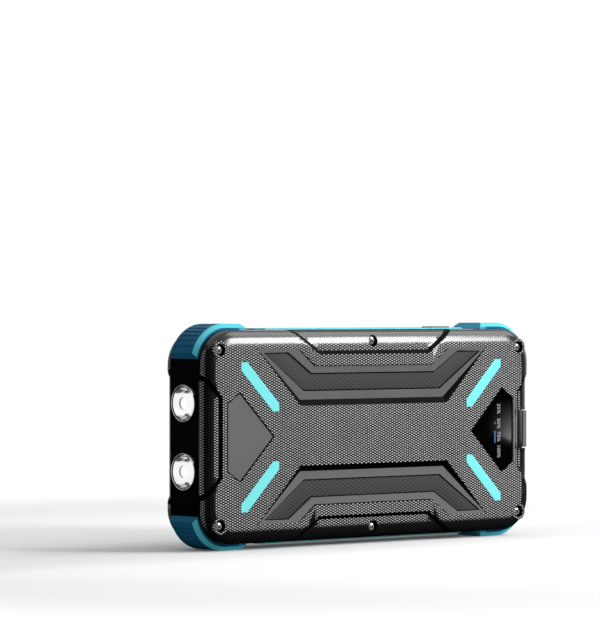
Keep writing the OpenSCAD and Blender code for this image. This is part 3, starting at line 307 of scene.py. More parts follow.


# dotted finishes: valleys and dots in two tones (on the shell the light dots are partly painted highlight on
# raised dots); darker tones where the shell turns down are painted shade
def dottedFinish(name, valley, dot, rough, bump, rows=dotRows, turned=None, coat=None, **values):
    made, tree, surface = startMaterial(name, **values)
    groupOut = useGroup(tree, dotGrain, **rows)
    dots = groupOut["Dots"]
    shaded = mixColour(dots, valley, dot)
    # painted shade: on the shell's rounded edges the dots and valleys take the darker turned tones
    if turned:
        paintedShadeTones = mixColour(dots, *turned)
        shaded = mixColour(groupOut["Slope"], shaded, paintedShadeTones)
    tone = useGroup(tree, mouldGrain)["Tone"]
    shaded = mixColour(times(tone, 0.12), shaded, valley)
    feed(surface, Base_Color=shaded, Roughness=ramp(dots, 0.0, 1.0, rough * 1.5, rough))
    if coat:
        feed(surface, Coat_Weight=ramp(dots, 0.0, 1.0, *coat))
    setBump(surface, dots, bump, 0.2 * mm)
    return made


addFinishes(dottedFinish, {
    # the light dot tone is partly painted highlight on the raised dots of a dark shell; turned holds the
    # painted-shade tones
    "shellDots": ((15, 15, 16), (234, 234, 235), 0.4, 0.3,
                  {"turned": ((4, 4, 5), (42, 42, 43)), "coat": (0.62, 1.0), "Specular_IOR_Level": 0.05,
                   "Coat_IOR": 1.6, "Coat_Roughness": 0.17}),
    "inlayDots": ((71, 71, 71), (31, 31, 31), 0.5, 0.2,
                  {"rows": {"Pitch": 2.8, "Row": 0.76}, "Specular_IOR_Level": 0.2}),
    "stripCyan": ((128, 244, 245), (140, 251, 251), 0.4, 0.1, {"Specular_IOR_Level": 0.15}),
})


# metals: light streaks in the colour and the roughness
def metalFinish(name, colour, other, rough, stretch, **values):
    made, tree, surface = startMaterial(name, **values)
    along = place(tree, "ShaderNodeMapping", {"Vector": onPiece(tree), "Scale": stretch}).outputs[0]
    streak = noiseAt(along, 1.0, 3.0)
    feed(surface, Base_Color=mixColour(streak, colour, other),
         Roughness=ramp(streak, 0.2, 0.8, rough * 0.7, rough * 1.4))
    setBump(surface, streak, 0.04)
    return made


addFinishes(metalFinish, {
    "screwChrome": ((232, 232, 234), (214, 214, 218), 0.25, (900, 900, 900), {"Metallic": 0.6}),
    "lampChrome": ((245, 245, 247), (234, 235, 238), 0.07, (300, 300, 300), {"Metallic": 1.0}),
    "socketSteel": ((196, 196, 199), (176, 176, 180), 0.28, (200, 3000, 3000), {"Metallic": 1.0}),
    "batteryFoil": ((206, 207, 210), (188, 189, 193), 0.35, (60, 400, 400), {"Metallic": 1.0}),
})


# clear pieces: thin and see-through, with a faint haze in the roughness
def clearFinish(name, colour, rough, alpha):
    made, tree, surface = startMaterial(name, Base_Color=shade(*colour), Alpha=alpha)
    haze = useGroup(tree, mouldGrain, Patch=120.0)
    feed(surface, Roughness=ramp(haze["Tone"], 0.0, 1.0, rough, rough * 1.6))
    setBump(surface, haze["Height"], 0.01)
    return made


addFinishes(clearFinish, {"sheetClear": ((40, 40, 42), 0.08, 0.1, {}),
                          "guideClear": ((225, 230, 233), 0.3, 0.35, {})})

# lamp optics: clear plastic with a painted glow for its bright look, and painted reflections as grey streaks
# where its flank shows near the rim
optic = {"highCap": (3.4, 4.0), "lowCap": (-4.9, -4.3), "wedgeSide": 2.4, "wedgeRise": 4.4,
         "wedgeHalf": (1.8, 0.75)}


def opticFinish(name, colour, glow, paintedReflection):
    made, tree, surface = startMaterial(name, Roughness=0.12, Emission_Color=(1, 1, 1, 1))
    axes, _ = groupAxes(tree)
    low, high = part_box("lamp_lens_top")
    rise = minus(axes[2], midHeight)
    up = minus(rise, times(calc("SIGN", rise), (low.z + high.z) / 2 - midHeight))
    side = minus(axes[1], (low.y + high.y) / 2)
    away = calc("SQRT", squareSum(up, side))
    turn = calc("ARCTAN2", up, side)
    ring = {0: calc("COSINE", turn), 1: calc("SINE", turn), 2: times(away, 2400.0)}
    cloud = noiseAt(place(tree, "ShaderNodeCombineXYZ", ring).outputs[0], 1.1, 3.0)
    # painted reflections: grey arcs in the top and bottom caps and a dark wedge near each
    caps = larger(ramp(up, *inMetres(optic["highCap"])), ramp(up, *inMetres(optic["lowCap"]), 1.0, 0.0))
    arcs = times(ramp(cloud, 0.4, 0.56, 0.1, 0.8), caps)
    halfX, halfZ = inMetres(optic["wedgeHalf"])
    wedgeX = over(plus(side, optic["wedgeSide"] * mm), halfX)
    wedgeZ = over(minus(absolute(up), optic["wedgeRise"] * mm), halfZ)
    wedge = ramp(squareSum(wedgeX, wedgeZ), 0.3, 1.3, 0.75, 0.0)
    streak = times(larger(arcs, wedge), paintedReflection)
    tinted = mixColour(times(cloud, 0.2), colour, (200, 201, 203))
    feed(surface, Base_Color=mixColour(streak, tinted, (30, 31, 33)),
         Emission_Strength=ramp(streak, 0.0, 0.9, glow, 0.0))
    return made


addFinishes(opticFinish, {
    "opticWhite": ((244, 245, 246), 0.66, 1.0, {}),
    "opticGlow": ((250, 250, 250), 0.75, 0.0, {}),
    # opticShade: grey painted shade on the eye's wall
    "opticShade": ((150, 151, 153), 0.05, 0.0, {}),
    "opticRim": ((232, 233, 235), 0.42, 0.8, {}),
})

# rubber trim: a painted highlight on its slanted edges and painted light on its tips towards the middle
trim = {"tip": (62.6, 64.0), "slantFrom": (0.45, 0.6), "slantTo": (0.84, 0.94)}


def rubberFinish(name, colour, other, tipLightColour, edgeHighlightColour):
    made, tree, surface = startMaterial(name, Specular_IOR_Level=0.06)
    grainOut = useGroup(tree, mouldGrain, Grain=1800.0)
    axes, facing = groupAxes(tree)
    lean = absolute(facing[1])
    tip = ramp(absolute(axes[0]), *inMetres(trim["tip"]), 1.0, 0.0)
    edge = times(ramp(lean, *trim["slantFrom"]), ramp(lean, *trim["slantTo"], 1.0, 0.0))
    body = mixColour(grainOut["Tone"], colour, other)
    body = mixColour(tip, body, tipLightColour)
    feed(surface, Base_Color=mixColour(edge, body, edgeHighlightColour),
         Roughness=ramp(grainOut["Tone"], 0.0, 1.0, 0.42, 0.52))
    setBump(surface, grainOut["Height"], 0.2)
    return made


# the last two colours are the painted light on the tips and the painted highlight on the slanted edges
addFinishes(rubberFinish, {
    "bumperBlue": ((24, 106, 146), (30, 114, 154), (80, 186, 224), (98, 218, 234), {}),
    "gripBlue": ((70, 140, 170), (78, 146, 176), (70, 150, 180), (112, 228, 234), {}),
})


# frame: satin silver along its middle, black lips under the two shells
def frameFinish(name, lipFrom, lipTo):
    made, tree, surface = startMaterial(name, Specular_IOR_Level=0.3)
    grainOut = useGroup(tree, mouldGrain)
    axes, _ = groupAxes(tree)
    lip = ramp(absolute(axes[1]), *inMetres((lipFrom, lipTo)))
    silver = mixColour(grainOut["Tone"], (206, 206, 208), (214, 214, 216))
    silver = mixColour(useGroup(tree, edgeRub)["Mask"], silver, (232, 232, 233))
    feed(surface, Base_Color=mixColour(lip, silver, (8, 8, 9)), Roughness=ramp(lip, 0.0, 1.0, 0.35, 0.5))
    setBump(surface, grainOut["Height"], 0.1)
    return made


# solar cells: fine pale lines across dark silicon, with the gap between two cells counted as lines
def cellFinish(name, cell, lines, gap):
    made, tree, surface = startMaterial(name)
    axes, _ = groupAxes(tree)
    along = over(minus(axes[0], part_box("solar_cells")[0].x), cell * mm / (lines + gap))
    beat = absolute(minus(calc("FRACT", along), 0.5))
    line = ramp(beat, 0.16, 0.22, 1.0, 0.0)
    tone = useGroup(tree, mouldGrain, Patch=90.0)["Tone"]
    base = mixColour(tone, (74, 74, 75), (80, 80, 81))
    feed(surface, Base_Color=mixColour(line, base, (136, 136, 137)),
         Roughness=ramp(line, 0.0, 1.0, 0.35, 0.25))
    setBump(surface, line, 0.1)
    return made


addFinishes(frameFinish, {"frameSilver": (6.9, 7.1, {})})
addFinishes(cellFinish, {"cellSilicon": (14.2, 9, 1.5, {})})
print("finishes made:", len(finishes))


# mesh helpers
def addObject(name, data):
    made = bpy.data.objects.new(name, data)
    bpy.context.scene.collection.objects.link(made)
    return made


def meshPiece(name, points, faces, materials, slots=None, smooth=True, sharp=35):
    mesh = bpy.data.meshes.new(name)
    mesh.from_pydata([tuple(p) for p in points], [], faces)
    for material in materials:
        mesh.materials.append(finishes[material])
    if slots is not None:
        mesh.polygons.foreach_set("material_index", np.array(slots, dtype=np.int32))
    mesh.polygons.foreach_set("use_smooth", np.full(len(faces), smooth))
    if smooth:
        mesh.set_sharp_from_angle(angle=math.radians(sharp))
    mesh.update()
    return addObject(name, mesh)


def roundRect(halfL, halfW, radius, steps=14):
    points = []
    for quarter in range(4):
        cx = (halfL - radius) * (1 if quarter in (0, 3) else -1)
        cv = (halfW - radius) * (1 if quarter < 2 else -1)
        for i in range(steps + 1):
            turn = math.pi / 2 * (quarter + i / steps)
            points.append((cx + radius * math.cos(turn), cv + radius * math.sin(turn)))
    return points


def circle(x, v, radius, steps=40):
    turns = [2 * math.pi * i / steps for i in range(steps)]
    return [(x + radius * math.cos(turn), v + radius * math.sin(turn)) for turn in turns]


def offsetLoop(points, distance):  # grows a counter-clockwise outline
    grown = []
    count = len(points)
    for i in range(count):
        a, b, c = (np.array(points[(i + k) % count], float) for k in (-1, 0, 1))
        n1 = np.array([(b - a)[1], -(b - a)[0]]) / np.linalg.norm(b - a)
        n2 = np.array([(c - b)[1], -(c - b)[0]]) / np.linalg.norm(c - b)
        grown.append(tuple(b + (n1 + n2) * distance / max(1 + n1 @ n2, 0.3)))
    return grown


def inside(px, pv, loop):
    hit = np.zeros(px.shape, bool)
    for (ax, av), (bx, bv) in zip(loop, loop[1:] + loop[:1]):
        crosses = (av > pv) != (bv > pv)
        at = (bx - ax) * (pv - av) / ((bv - av) if bv != av else 1e-12) + ax
        hit ^= crosses & (px < at)
    return hit


def mirrored(points, sx, sv):
    moved = [(x * sx, v * sv) for x, v in points]
    return moved if sx * sv > 0 else moved[::-1]


# the sloped edge of a shell: how far in from the rim a point lies, from 0 at the rim to 1 on the face
rimShare = 0.15
cornerPull = 0.7  # how much of the slope's run the corner radius loses
pointStep = 2.2  # between points on long straight runs


def edgeTurn(share):  # turn along the rounded part above the steep rim
    return np.clip((share - rimShare) / (1 - rimShare), 0, 1) * math.pi / 2


def edgeInsets(share, edge):
    rim = np.minimum(share / rimShare, 1) * edge["rimLean"]
    turn = 1 - np.cos(edgeTurn(share))
    return rim + (edge["endRun"] - edge["rimLean"]) * turn, rim + (edge["sideRun"] - edge["rimLean"]) * turn


def edgeHeight(share, edge):
    rim = np.minimum(share / rimShare, 1) * edge["rimHeight"]
    return edge["base"] + rim + (edge["face"] - edge["base"] - edge["rimHeight"]) * np.sin(edgeTurn(share))


def finer(line, closed=True):  # more points along the long straight runs
    points = []
    for a, b in zip(line, line[1:] + (line[:1] if closed else [])):
        away = math.dist(a, b)
        parts = round(away / pointStep) if away > 2 * pointStep else 1
        points += [(a[0] + (b[0] - a[0]) * k / parts, a[1] + (b[1] - a[1]) * k / parts) for k in range(parts)]
    return points if closed else points + [line[-1]]


def edgeLoop(share, edge):
    endIn, sideIn = (float(inset) for inset in edgeInsets(np.array(share), edge))
    return finer(roundRect(halfLength - endIn, halfWidth - sideIn, edge["radius"] - cornerPull * sideIn))


def edgeShare(px, pv, edge):
    low, high = np.zeros(px.shape), np.ones(px.shape)
    for _ in range(26):
        share = (low + high) / 2
        endIn, sideIn = edgeInsets(share, edge)
        radius = edge["radius"] - cornerPull * sideIn
        qx = np.abs(px) - (halfLength - endIn - radius)
        qv = np.abs(pv) - (halfWidth - sideIn - radius)
        gap = np.hypot(np.maximum(qx, 0), np.maximum(qv, 0)) + np.minimum(np.maximum(qx, qv), 0) - radius
        low, high = np.where(gap < 0, share, low), np.where(gap < 0, high, share)
    return (low + high) / 2


# notches: 0 outside, 1 on the sunk floor, with a ramp between
notchSoft = 0.12  # blur of their edges


def makeNotch(piece, kind, edge, side):
    return {"edge": edge, "reach": piece[kind + "Reach"], "half": side - piece[kind + "Gap"],
            "slant": piece[kind + "Slant"], "ramp": piece["notchRamp"]}


def notchDepth(along, out, notch):
    inner = notch["edge"] - notch["reach"]
    fromInner = np.abs(out) - inner
    fromSlant = (notch["half"] + notch["slant"] * fromInner - np.abs(along)) / math.hypot(1, notch["slant"])
    return np.clip(np.minimum(fromInner, fromSlant) / notch["ramp"], 0, 1)


def notchLines(notch):
    edge, slant = notch["edge"], notch["slant"]
    inner = edge - notch["reach"]
    lines = []
    for step in (0, notch["ramp"]):
        foot = notch["half"] - step * math.hypot(1, slant) + step * slant
        head = foot + slant * (edge - inner - step)
        lines.append([(-head, edge), (-foot, inner + step), (foot, inner + step), (head, edge)])
    return lines


def endNotchLines(notch):  # the same lines at both ends
    return [[(s * v, x) for x, v in line] for line in notchLines(notch) for s in (1, -1)]


def onRamp(depth):
    return (depth > 0.02) & (depth < 0.98)


def blurred(function, px, pv, radius):
    total = function(px, pv)
    for i in range(8):
        turn = math.pi / 4 * i
        total = total + function(px + radius * math.cos(turn), pv + radius * math.sin(turn))
    return total / 9


# a shell's outside: flat plan triangles lifted by the shell's own height, then sunk at the notches
shellSharp = 24  # degrees, steeper edges are drawn hard
edgeShares = (0, 0.05, 0.1, 0.15, 0.2, 0.27, 0.35, 0.43, 0.51, 0.59, 0.67, 0.75, 0.83, 0.91, 1)


def buildShell(edge, loops, lines, holes, sink, region, shift, flip=False):
    points, segments = [], []

    def draw(chain, closed=True):
        first = len(points)
        points.extend(Vector(p) for p in chain)
        count = len(chain)
        segments.extend((first + i, first + (i + 1) % count) for i in range(count if closed else count - 1))

    for share in edgeShares:
        draw(edgeLoop(share, edge))
    draw(offsetLoop(edgeLoop(1, edge), -0.4))
    for loop in loops + holes:
        draw(loop)
    for line in lines:
        draw(finer(line, closed=False), closed=False)
    found, _, triangles, *_ = delaunay_2d_cdt(points, segments, [], 0, 1e-6)
    px, pv = np.array([p.x for p in found]), np.array([p.y for p in found])
    corners = np.array(triangles)
    cx, cv = px[corners].mean(1), pv[corners].mean(1)
    keep = edgeShare(cx, cv, edge) > 1e-5
    for hole in holes:
        keep &= ~inside(cx, cv, hole)
    corners, cx, cv = corners[keep], cx[keep], cv[keep]
    lifted = shift(px, pv, edgeHeight(edgeShare(px, pv, edge), edge) - sink(px, pv))
    sign = -1 if flip else 1
    verts = [spot(x, v, sign * h) for x, v, h in zip(*lifted)]
    faces = [tuple(int(i) for i in (c[::-1] if flip else c)) for c in corners]
    return verts, faces, list(region(cx, cv))


# walls and floor of a pocket whose rim follows the shell
def addPocket(shell, loop, rimHeights, floor, slot, flip=False):
    verts, faces, slots = shell
    first, count = len(verts), len(loop)
    sign = -1 if flip else 1
    verts.extend(spot(x, v, sign * h) for (x, v), h in zip(loop, rimHeights))
    verts.extend(spot(x, v, sign * floor) for x, v in loop)
    low = first + count
    walls = [(first + i, low + i, low + (i + 1) % count, first + (i + 1) % count) for i in range(count)]
    walls.append(tuple(range(low, low + count)))
    faces.extend(wall[::-1] if flip else wall for wall in walls)
    slots.extend([slot] * len(walls))


# back cover
cover = {
    "radius": 13.0, "rimHeight": 1.2, "rimLean": 0.2, "sideRun": 6.3, "endRun": 4.9,
    "notchDrop": 0.9, "notchIn": 0.15, "notchRamp": 1.5,
    "sideNotchReach": 9.3, "sideNotchGap": 55.1, "sideNotchSlant": 1.5,
    "endNotchReach": 7.7, "endNotchGap": 25.1, "endNotchSlant": 1.1,
    "tabHalf": 7.6, "tabWall": 0.15, "thumbIn": 2.7, "thumbStart": 73.6,
    "skirtLow": 8.1, "skirtHalf": 21.2, "skirtBack": 2.6,
    "barTipGap": 19.6, "barEdgeGap": 0.8, "barTop": 19.8, "barSlant": 8.8, "barSlantWidth": 6.6,
    "barBack": 21.0, "barField": 11.5, "barDepth": 1.5, "barBevel": 2.1,
    "inlayTip": 3.9, "inlayEdge": 1.8, "inlayMid": 3.2, "inlayLow": 5.7, "inlayDepth": 0.4, "inlayLine": 0.4,
    "stripEnd": 11.5, "stripSide": 5.6, "stripLength": 18.7, "stripWidth": 18.9, "stripCut": 3.2,
    "stripDepth": 1.0, "holeRing": 0.12,
    "diamondGap": 5.2, "diamondLength": 22.3, "diamondEdge": 12.7, "diamondHalf": 16.6,
    "diamondShoulder": 5.9, "diamondLine": 0.3, "windowDepth": 1.4, "plateDepth": 1.05,
    "screwEnd": 1.7, "screwSide": 1.0, "midScrewGap": 4.2, "land": 3.3, "landFlare": 0.6,
    "screwHole": 2.25, "screwSink": 1.9, "midScrewSink": 2.8, "soften": 0.16,
}
cover.update(base=frameTop, face=faceHeight)
coverMaterials = ["shellDots", "barGrey", "inlayDots", "shellSmooth"]
plainBar, inlayFloor, smoothBlackAndPaintedShade = 1, 2, 3  # places in that list
faceL = halfLength - cover["endRun"]
faceW = halfWidth - cover["sideRun"]
screwX, screwV = faceL - cover["screwEnd"], faceW - cover["screwSide"]
cornerScrews = [(i * screwX, j * screwV) for i in (-1, 1) for j in (-1, 1)]
midScrews = [(0.0, j * (halfWidth - cover["midScrewGap"])) for j in (-1, 1)]

barTip = (faceL - cover["barTipGap"], faceW - cover["barEdgeGap"])
barTop = (barTip[0] - cover["barTop"], barTip[1])
barMid = (barTop[0] - cover["barSlant"], barTip[1] - cover["barSlantWidth"])
barLow = (barTip[0] - cover["barBack"], cover["barField"])
barFloor = cover["barDepth"] / (barTip[1] - barLow[1] - cover["barBevel"])
barWall = cover["barDepth"] / cover["barBevel"]
barHalfLoop = [barLow, barTip, barTop, barMid]
barLoop = barHalfLoop + [(-x, v) for x, v in barHalfLoop[::-1]]
inlayHalf = [(barLow[0] - cover["inlayLow"] / 2, barLow[1] + cover["inlayLow"]),
             (barTip[0] - cover["inlayTip"], barTip[1] - cover["inlayEdge"]),
             (barTop[0] + 1.25 * cover["inlayTip"], barTip[1] - cover["inlayEdge"]),
             (barMid[0] + cover["inlayMid"] / 2, barMid[1] - cover["inlayMid"])]
inlayLoop = inlayHalf + [(-x, v) for x, v in inlayHalf[::-1]]
inlayRim = offsetLoop(inlayLoop, cover["inlayLine"])
barEdge = offsetLoop(barLoop, cover["soften"])
barCore = offsetLoop(barLoop, -cover["soften"])
barRun = np.array(barTip) - np.array(barLow)
barSide = np.array([-barRun[1], barRun[0]]) / np.linalg.norm(barRun)  # points into the bar
creaseV = barLow[1] + cover["barBevel"]
creaseX = barLow[0] + (cover["barBevel"] - (creaseV - barLow[1]) * barSide[1]) / barSide[0]
barCrease = [barTip, (creaseX, creaseV), (-creaseX, creaseV), (-barTip[0], barTip[1])]

stripOut = (faceL - cover["stripEnd"], faceW - cover["stripSide"])
stripIn = (stripOut[0] - cover["stripLength"], stripOut[1] - cover["stripWidth"])
cut = cover["stripCut"]
stripLoop = [stripIn, (stripIn[0] + cut, stripIn[1]), (stripOut[0], stripOut[1] - cut), stripOut,
             (stripOut[0] - cut, stripOut[1]), (stripIn[0], stripIn[1] + cut)]
diamondOut = faceL - cover["diamondGap"]
shoulder = diamondOut - cover["diamondShoulder"]
diamondLoop = [(diamondOut - cover["diamondLength"], 0), (shoulder, -cover["diamondHalf"]),
               (diamondOut, -cover["diamondEdge"]), (diamondOut, cover["diamondEdge"]),
               (shoulder, cover["diamondHalf"])]
diamondRim = offsetLoop(diamondLoop, cover["diamondLine"])
sideNotch = makeNotch(cover, "sideNotch", halfWidth, halfLength)
endNotch = makeNotch(cover, "endNotch", halfLength, halfWidth)


def tabShare(px, pv):  # 1 in the thumb recess behind the port cover's tab
    share = (cover["tabHalf"] + cover["tabWall"] - np.abs(pv)) / cover["tabWall"]
    return np.where(px > 0, np.clip(share, 0, 1), 0)


def barSlopes(ax, av):  # depth of the bar's tilted floor and of its sloped walls
    wall = np.minimum(av - barLow[1], (ax - barLow[0]) * barSide[0] + (av - barLow[1]) * barSide[1])
    return (barTip[1] - av) * barFloor, wall * barWall


def barDepth(px, pv):
    ax, av = np.abs(px), np.abs(pv)
    floor, wall = barSlopes(ax, av)
    depth = np.where(inside(ax, av, barLoop), np.clip(np.minimum(floor, wall), 0, None), 0)
    depth = depth + np.where(inside(ax, av, inlayRim), cover["inlayDepth"] * 1.5, 0)  # line round the inlay
    return depth - np.where(inside(ax, av, inlayLoop), cover["inlayDepth"] * 0.5, 0)


def coverNotches(px, pv):
    side = notchDepth(px, pv, sideNotch)
    end = notchDepth(pv, px, endNotch) * (1 - tabShare(px, pv))
    return side, end


def landHeight(px, pv):
    height = np.full(px.shape, -100.0)
    for sx, sv in cornerScrews:
        away = np.clip(np.hypot(px - sx, pv - sv) - cover["land"], 0, None)
        fall = away / cover["landFlare"] * (cover["face"] - cover["base"])
        height = np.maximum(height, cover["face"] - fall)
    return height


def coverShift(px, pv, height):
    side, end = coverNotches(px, pv)
    soft = blurred(lambda a, b: np.maximum(*coverNotches(a, b)), px, pv, notchSoft)
    lands = np.where(edgeShare(px, pv, cover) > 0.05, landHeight(px, pv), 0)
    height = np.maximum(np.maximum(height - cover["notchDrop"] * soft, lands), cover["base"])
    reach = np.clip((px - cover["thumbStart"]) / (faceL - cover["thumbStart"]), 0, 1)
    x = px - np.sign(px) * cover["notchIn"] * end - cover["thumbIn"] * tabShare(px, pv) * reach
    return x, pv - np.sign(pv) * cover["notchIn"] * side, height


def coverRegion(px, pv):
    ax, av = np.abs(px), np.abs(pv)
    slots = np.zeros(px.shape, int)
    inBar = inside(ax, av, barLoop)
    slots[inBar] = plainBar
    floor, wall = barSlopes(ax, av)
    shadedBarRim = inside(ax, av, barEdge) & ~inside(ax, av, barCore) & (floor > 0.12)
    # painted shade: the bar's sloped walls, the thin rim at its slanted and inner edges and the groove round
    # the inlay take the plain black finish for the dark bands they show
    slots[(inBar & (wall < floor)) | shadedBarRim | inside(ax, av, inlayRim)] = smoothBlackAndPaintedShade
    slots[inside(ax, av, inlayLoop)] = inlayFloor
    # painted shade: the line round the diamond and the notch ramps take the plain black finish as well
    slots[inside(ax, av, diamondRim) | onRamp(np.maximum(*coverNotches(px, pv)))] = smoothBlackAndPaintedShade
    return slots


coverLoops = []
for base in (barLoop, inlayLoop, inlayRim):
    for grow in (-cover["soften"], 0, cover["soften"]):
        grown = offsetLoop(base, grow) if grow else base
        coverLoops += [mirrored(grown, 1, sv) for sv in (1, -1)]
coverHoles, coverFloors = [], []
for sx in (-1, 1):
    for sv in (-1, 1):
        coverHoles.append(mirrored(stripLoop, sx, sv))
        coverFloors.append(cover["face"] - cover["stripDepth"])
    coverHoles.append(mirrored(diamondLoop, sx, 1))
    coverFloors.append(cover["face"] - cover["windowDepth" if sx > 0 else "plateDepth"])
coverLoops += [offsetLoop(hole, cover["holeRing"]) for hole in coverHoles]
coverLoops += [mirrored(diamondRim, sx, 1) for sx in (-1, 1)]
for x, v in cornerScrews + midScrews:
    coverHoles.append(circle(x, v, cover["screwHole"]))
    coverFloors.append(cover["face"] - cover["screwSink" if x else "midScrewSink"])
for x, v in cornerScrews:
    coverLoops += [circle(x, v, cover["land"] + cover["landFlare"] * k / 4) for k in range(5)]
coverLines = [[(x, s * v) for x, v in line] for line in notchLines(sideNotch) for s in (1, -1)]
coverLines += endNotchLines(endNotch)
coverLines += [[(x, s * v) for x, v in barCrease] for s in (1, -1)]
for v in (cover["tabHalf"], cover["tabHalf"] + cover["tabWall"]):
    coverLines += [[(cover["thumbStart"] - 1, s * v), (halfLength, s * v)] for s in (-1, 1)]


def coverSink(px, pv):
    return blurred(barDepth, px, pv, cover["soften"] * 0.8)


def coverSurface(px, pv):
    return coverShift(px, pv, edgeHeight(edgeShare(px, pv, cover), cover) - coverSink(px, pv))[2]


# skirts that hang over the end plates
def addSkirt(shell, sx):
    verts, faces, slots = shell
    tabEdges = [s * t for s in (-1, 1) for t in (cover["tabHalf"], cover["tabHalf"] + cover["tabWall"])]
    edge = np.linspace(-cover["skirtHalf"], cover["skirtHalf"], 60)
    edge = np.unique(np.concatenate([edge, tabEdges]))
    outX, _, _ = coverShift(np.full(edge.shape, sx * halfLength), edge, np.full(edge.shape, cover["base"]))
    keep = (sx < 0) | (np.abs(edge) > cover["tabHalf"] + 0.1)  # open behind the port cover's tab
    backX = sx * (halfLength - cover["skirtBack"])
    first = len(verts)
    for x, v in zip(outX, edge):
        verts.extend([spot(x, v, cover["base"] + 0.01), spot(x, v, cover["skirtLow"]),
                      spot(backX, v, cover["skirtLow"])])
    for i in range(len(edge) - 1):
        if not (keep[i] and keep[i + 1]):
            continue
        for a, slot in ((first + 3 * i, 0), (first + 3 * i + 1, smoothBlackAndPaintedShade)):
            quad = (a, a + 1, a + 4, a + 3)
            faces.append(quad if sx > 0 else quad[::-1])
            slots.append(slot)


shell = buildShell(cover, coverLoops, coverLines, coverHoles, coverSink, coverRegion, coverShift)
for hole, floor in zip(coverHoles, coverFloors):
    addPocket(shell, hole, coverSurface(*np.array(hole).T), floor, smoothBlackAndPaintedShade)
addSkirt(shell, -1)
addSkirt(shell, 1)
verts, faces, slots = shell
backCover = meshPiece("backCover", verts, faces, coverMaterials, slots, sharp=shellSharp)
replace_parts(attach(backCover, "charger"), "back_cover")
print("back cover:", len(faces), "faces")

# solar bezel
bezelHigh = nodeSize("solar_bezel")[1]
bezel = {"radius": 13.0, "rimHeight": 1.2, "rimLean": 0.2, "sideRun": 3.9, "endRun": 4.1,
         "notchDrop": 0.9, "notchIn": 0.15, "notchRamp": 1.5,
         "notchReach": 6.2, "notchGap": 21.4, "notchSlant": 1.1,
         "panelEnd": 9.8, "panelSide": 7.5, "panelRadius": 5.0, "panelGap": 0.1, "pocket": 2.2}
bezel.update(base=frameHigh.y, face=bezelHigh.y)
bezelNotch = makeNotch(bezel, "notch", halfLength, halfWidth)


def bezelShift(px, pv, height):
    end = notchDepth(pv, px, bezelNotch)
    soft = blurred(lambda a, b: notchDepth(b, a, bezelNotch), px, pv, notchSoft)
    height = np.maximum(height - bezel["notchDrop"] * soft, bezel["base"])
    return px - np.sign(px) * bezel["notchIn"] * end, pv, height


def bezelRegion(px, pv):
    # painted shade: the notch ramps take the plain black finish
    return np.where(onRamp(notchDepth(pv, px, bezelNotch)), 1, 0)


panelLoop = roundRect(halfLength - bezel["panelEnd"] + bezel["panelGap"],
                      halfWidth - bezel["panelSide"] + bezel["panelGap"], bezel["panelRadius"])
shell = buildShell(bezel, [offsetLoop(panelLoop, 0.2)], endNotchLines(bezelNotch), [panelLoop],
                   lambda px, pv: np.zeros(px.shape), bezelRegion, bezelShift, flip=True)
addPocket(shell, panelLoop, [bezel["face"]] * len(panelLoop), bezel["face"] - bezel["pocket"], 1, flip=True)
verts, faces, slots = shell
solarBezel = meshPiece("solarBezel", verts, faces, ["shellDots", "shellSmooth"], slots, sharp=shellSharp)
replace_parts(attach(solarBezel, "charger"), "solar_bezel")
print("solar bezel:", len(faces), "faces")


# round pieces turned about an axis: profile of (radius, distance along the axis) in mm
def axisFrame(axis):
    axis = Vector(axis).normalized()
    side = axis.orthogonal().normalized()
    return axis, side, axis.cross(side)


def turned(name, profile, centre, axis, materials, slots=None, steps=64):
    axis, side, up = axisFrame(axis)
    verts, faces, marks = [], [], []
    for radius, along in profile:
        for k in range(steps):
            turn = 2 * math.pi * k / steps
            out = side * math.cos(turn) + up * math.sin(turn)
            verts.append(centre + (axis * along + out * radius) * mm)
    for i in range(len(profile) - 1):
        for k in range(steps):
            j = (k + 1) % steps
            faces.append((i * steps + k, i * steps + j, (i + 1) * steps + j, (i + 1) * steps + k))
            marks.append(slots[i] if slots else 0)
    return meshPiece(name, verts, faces, materials, marks)


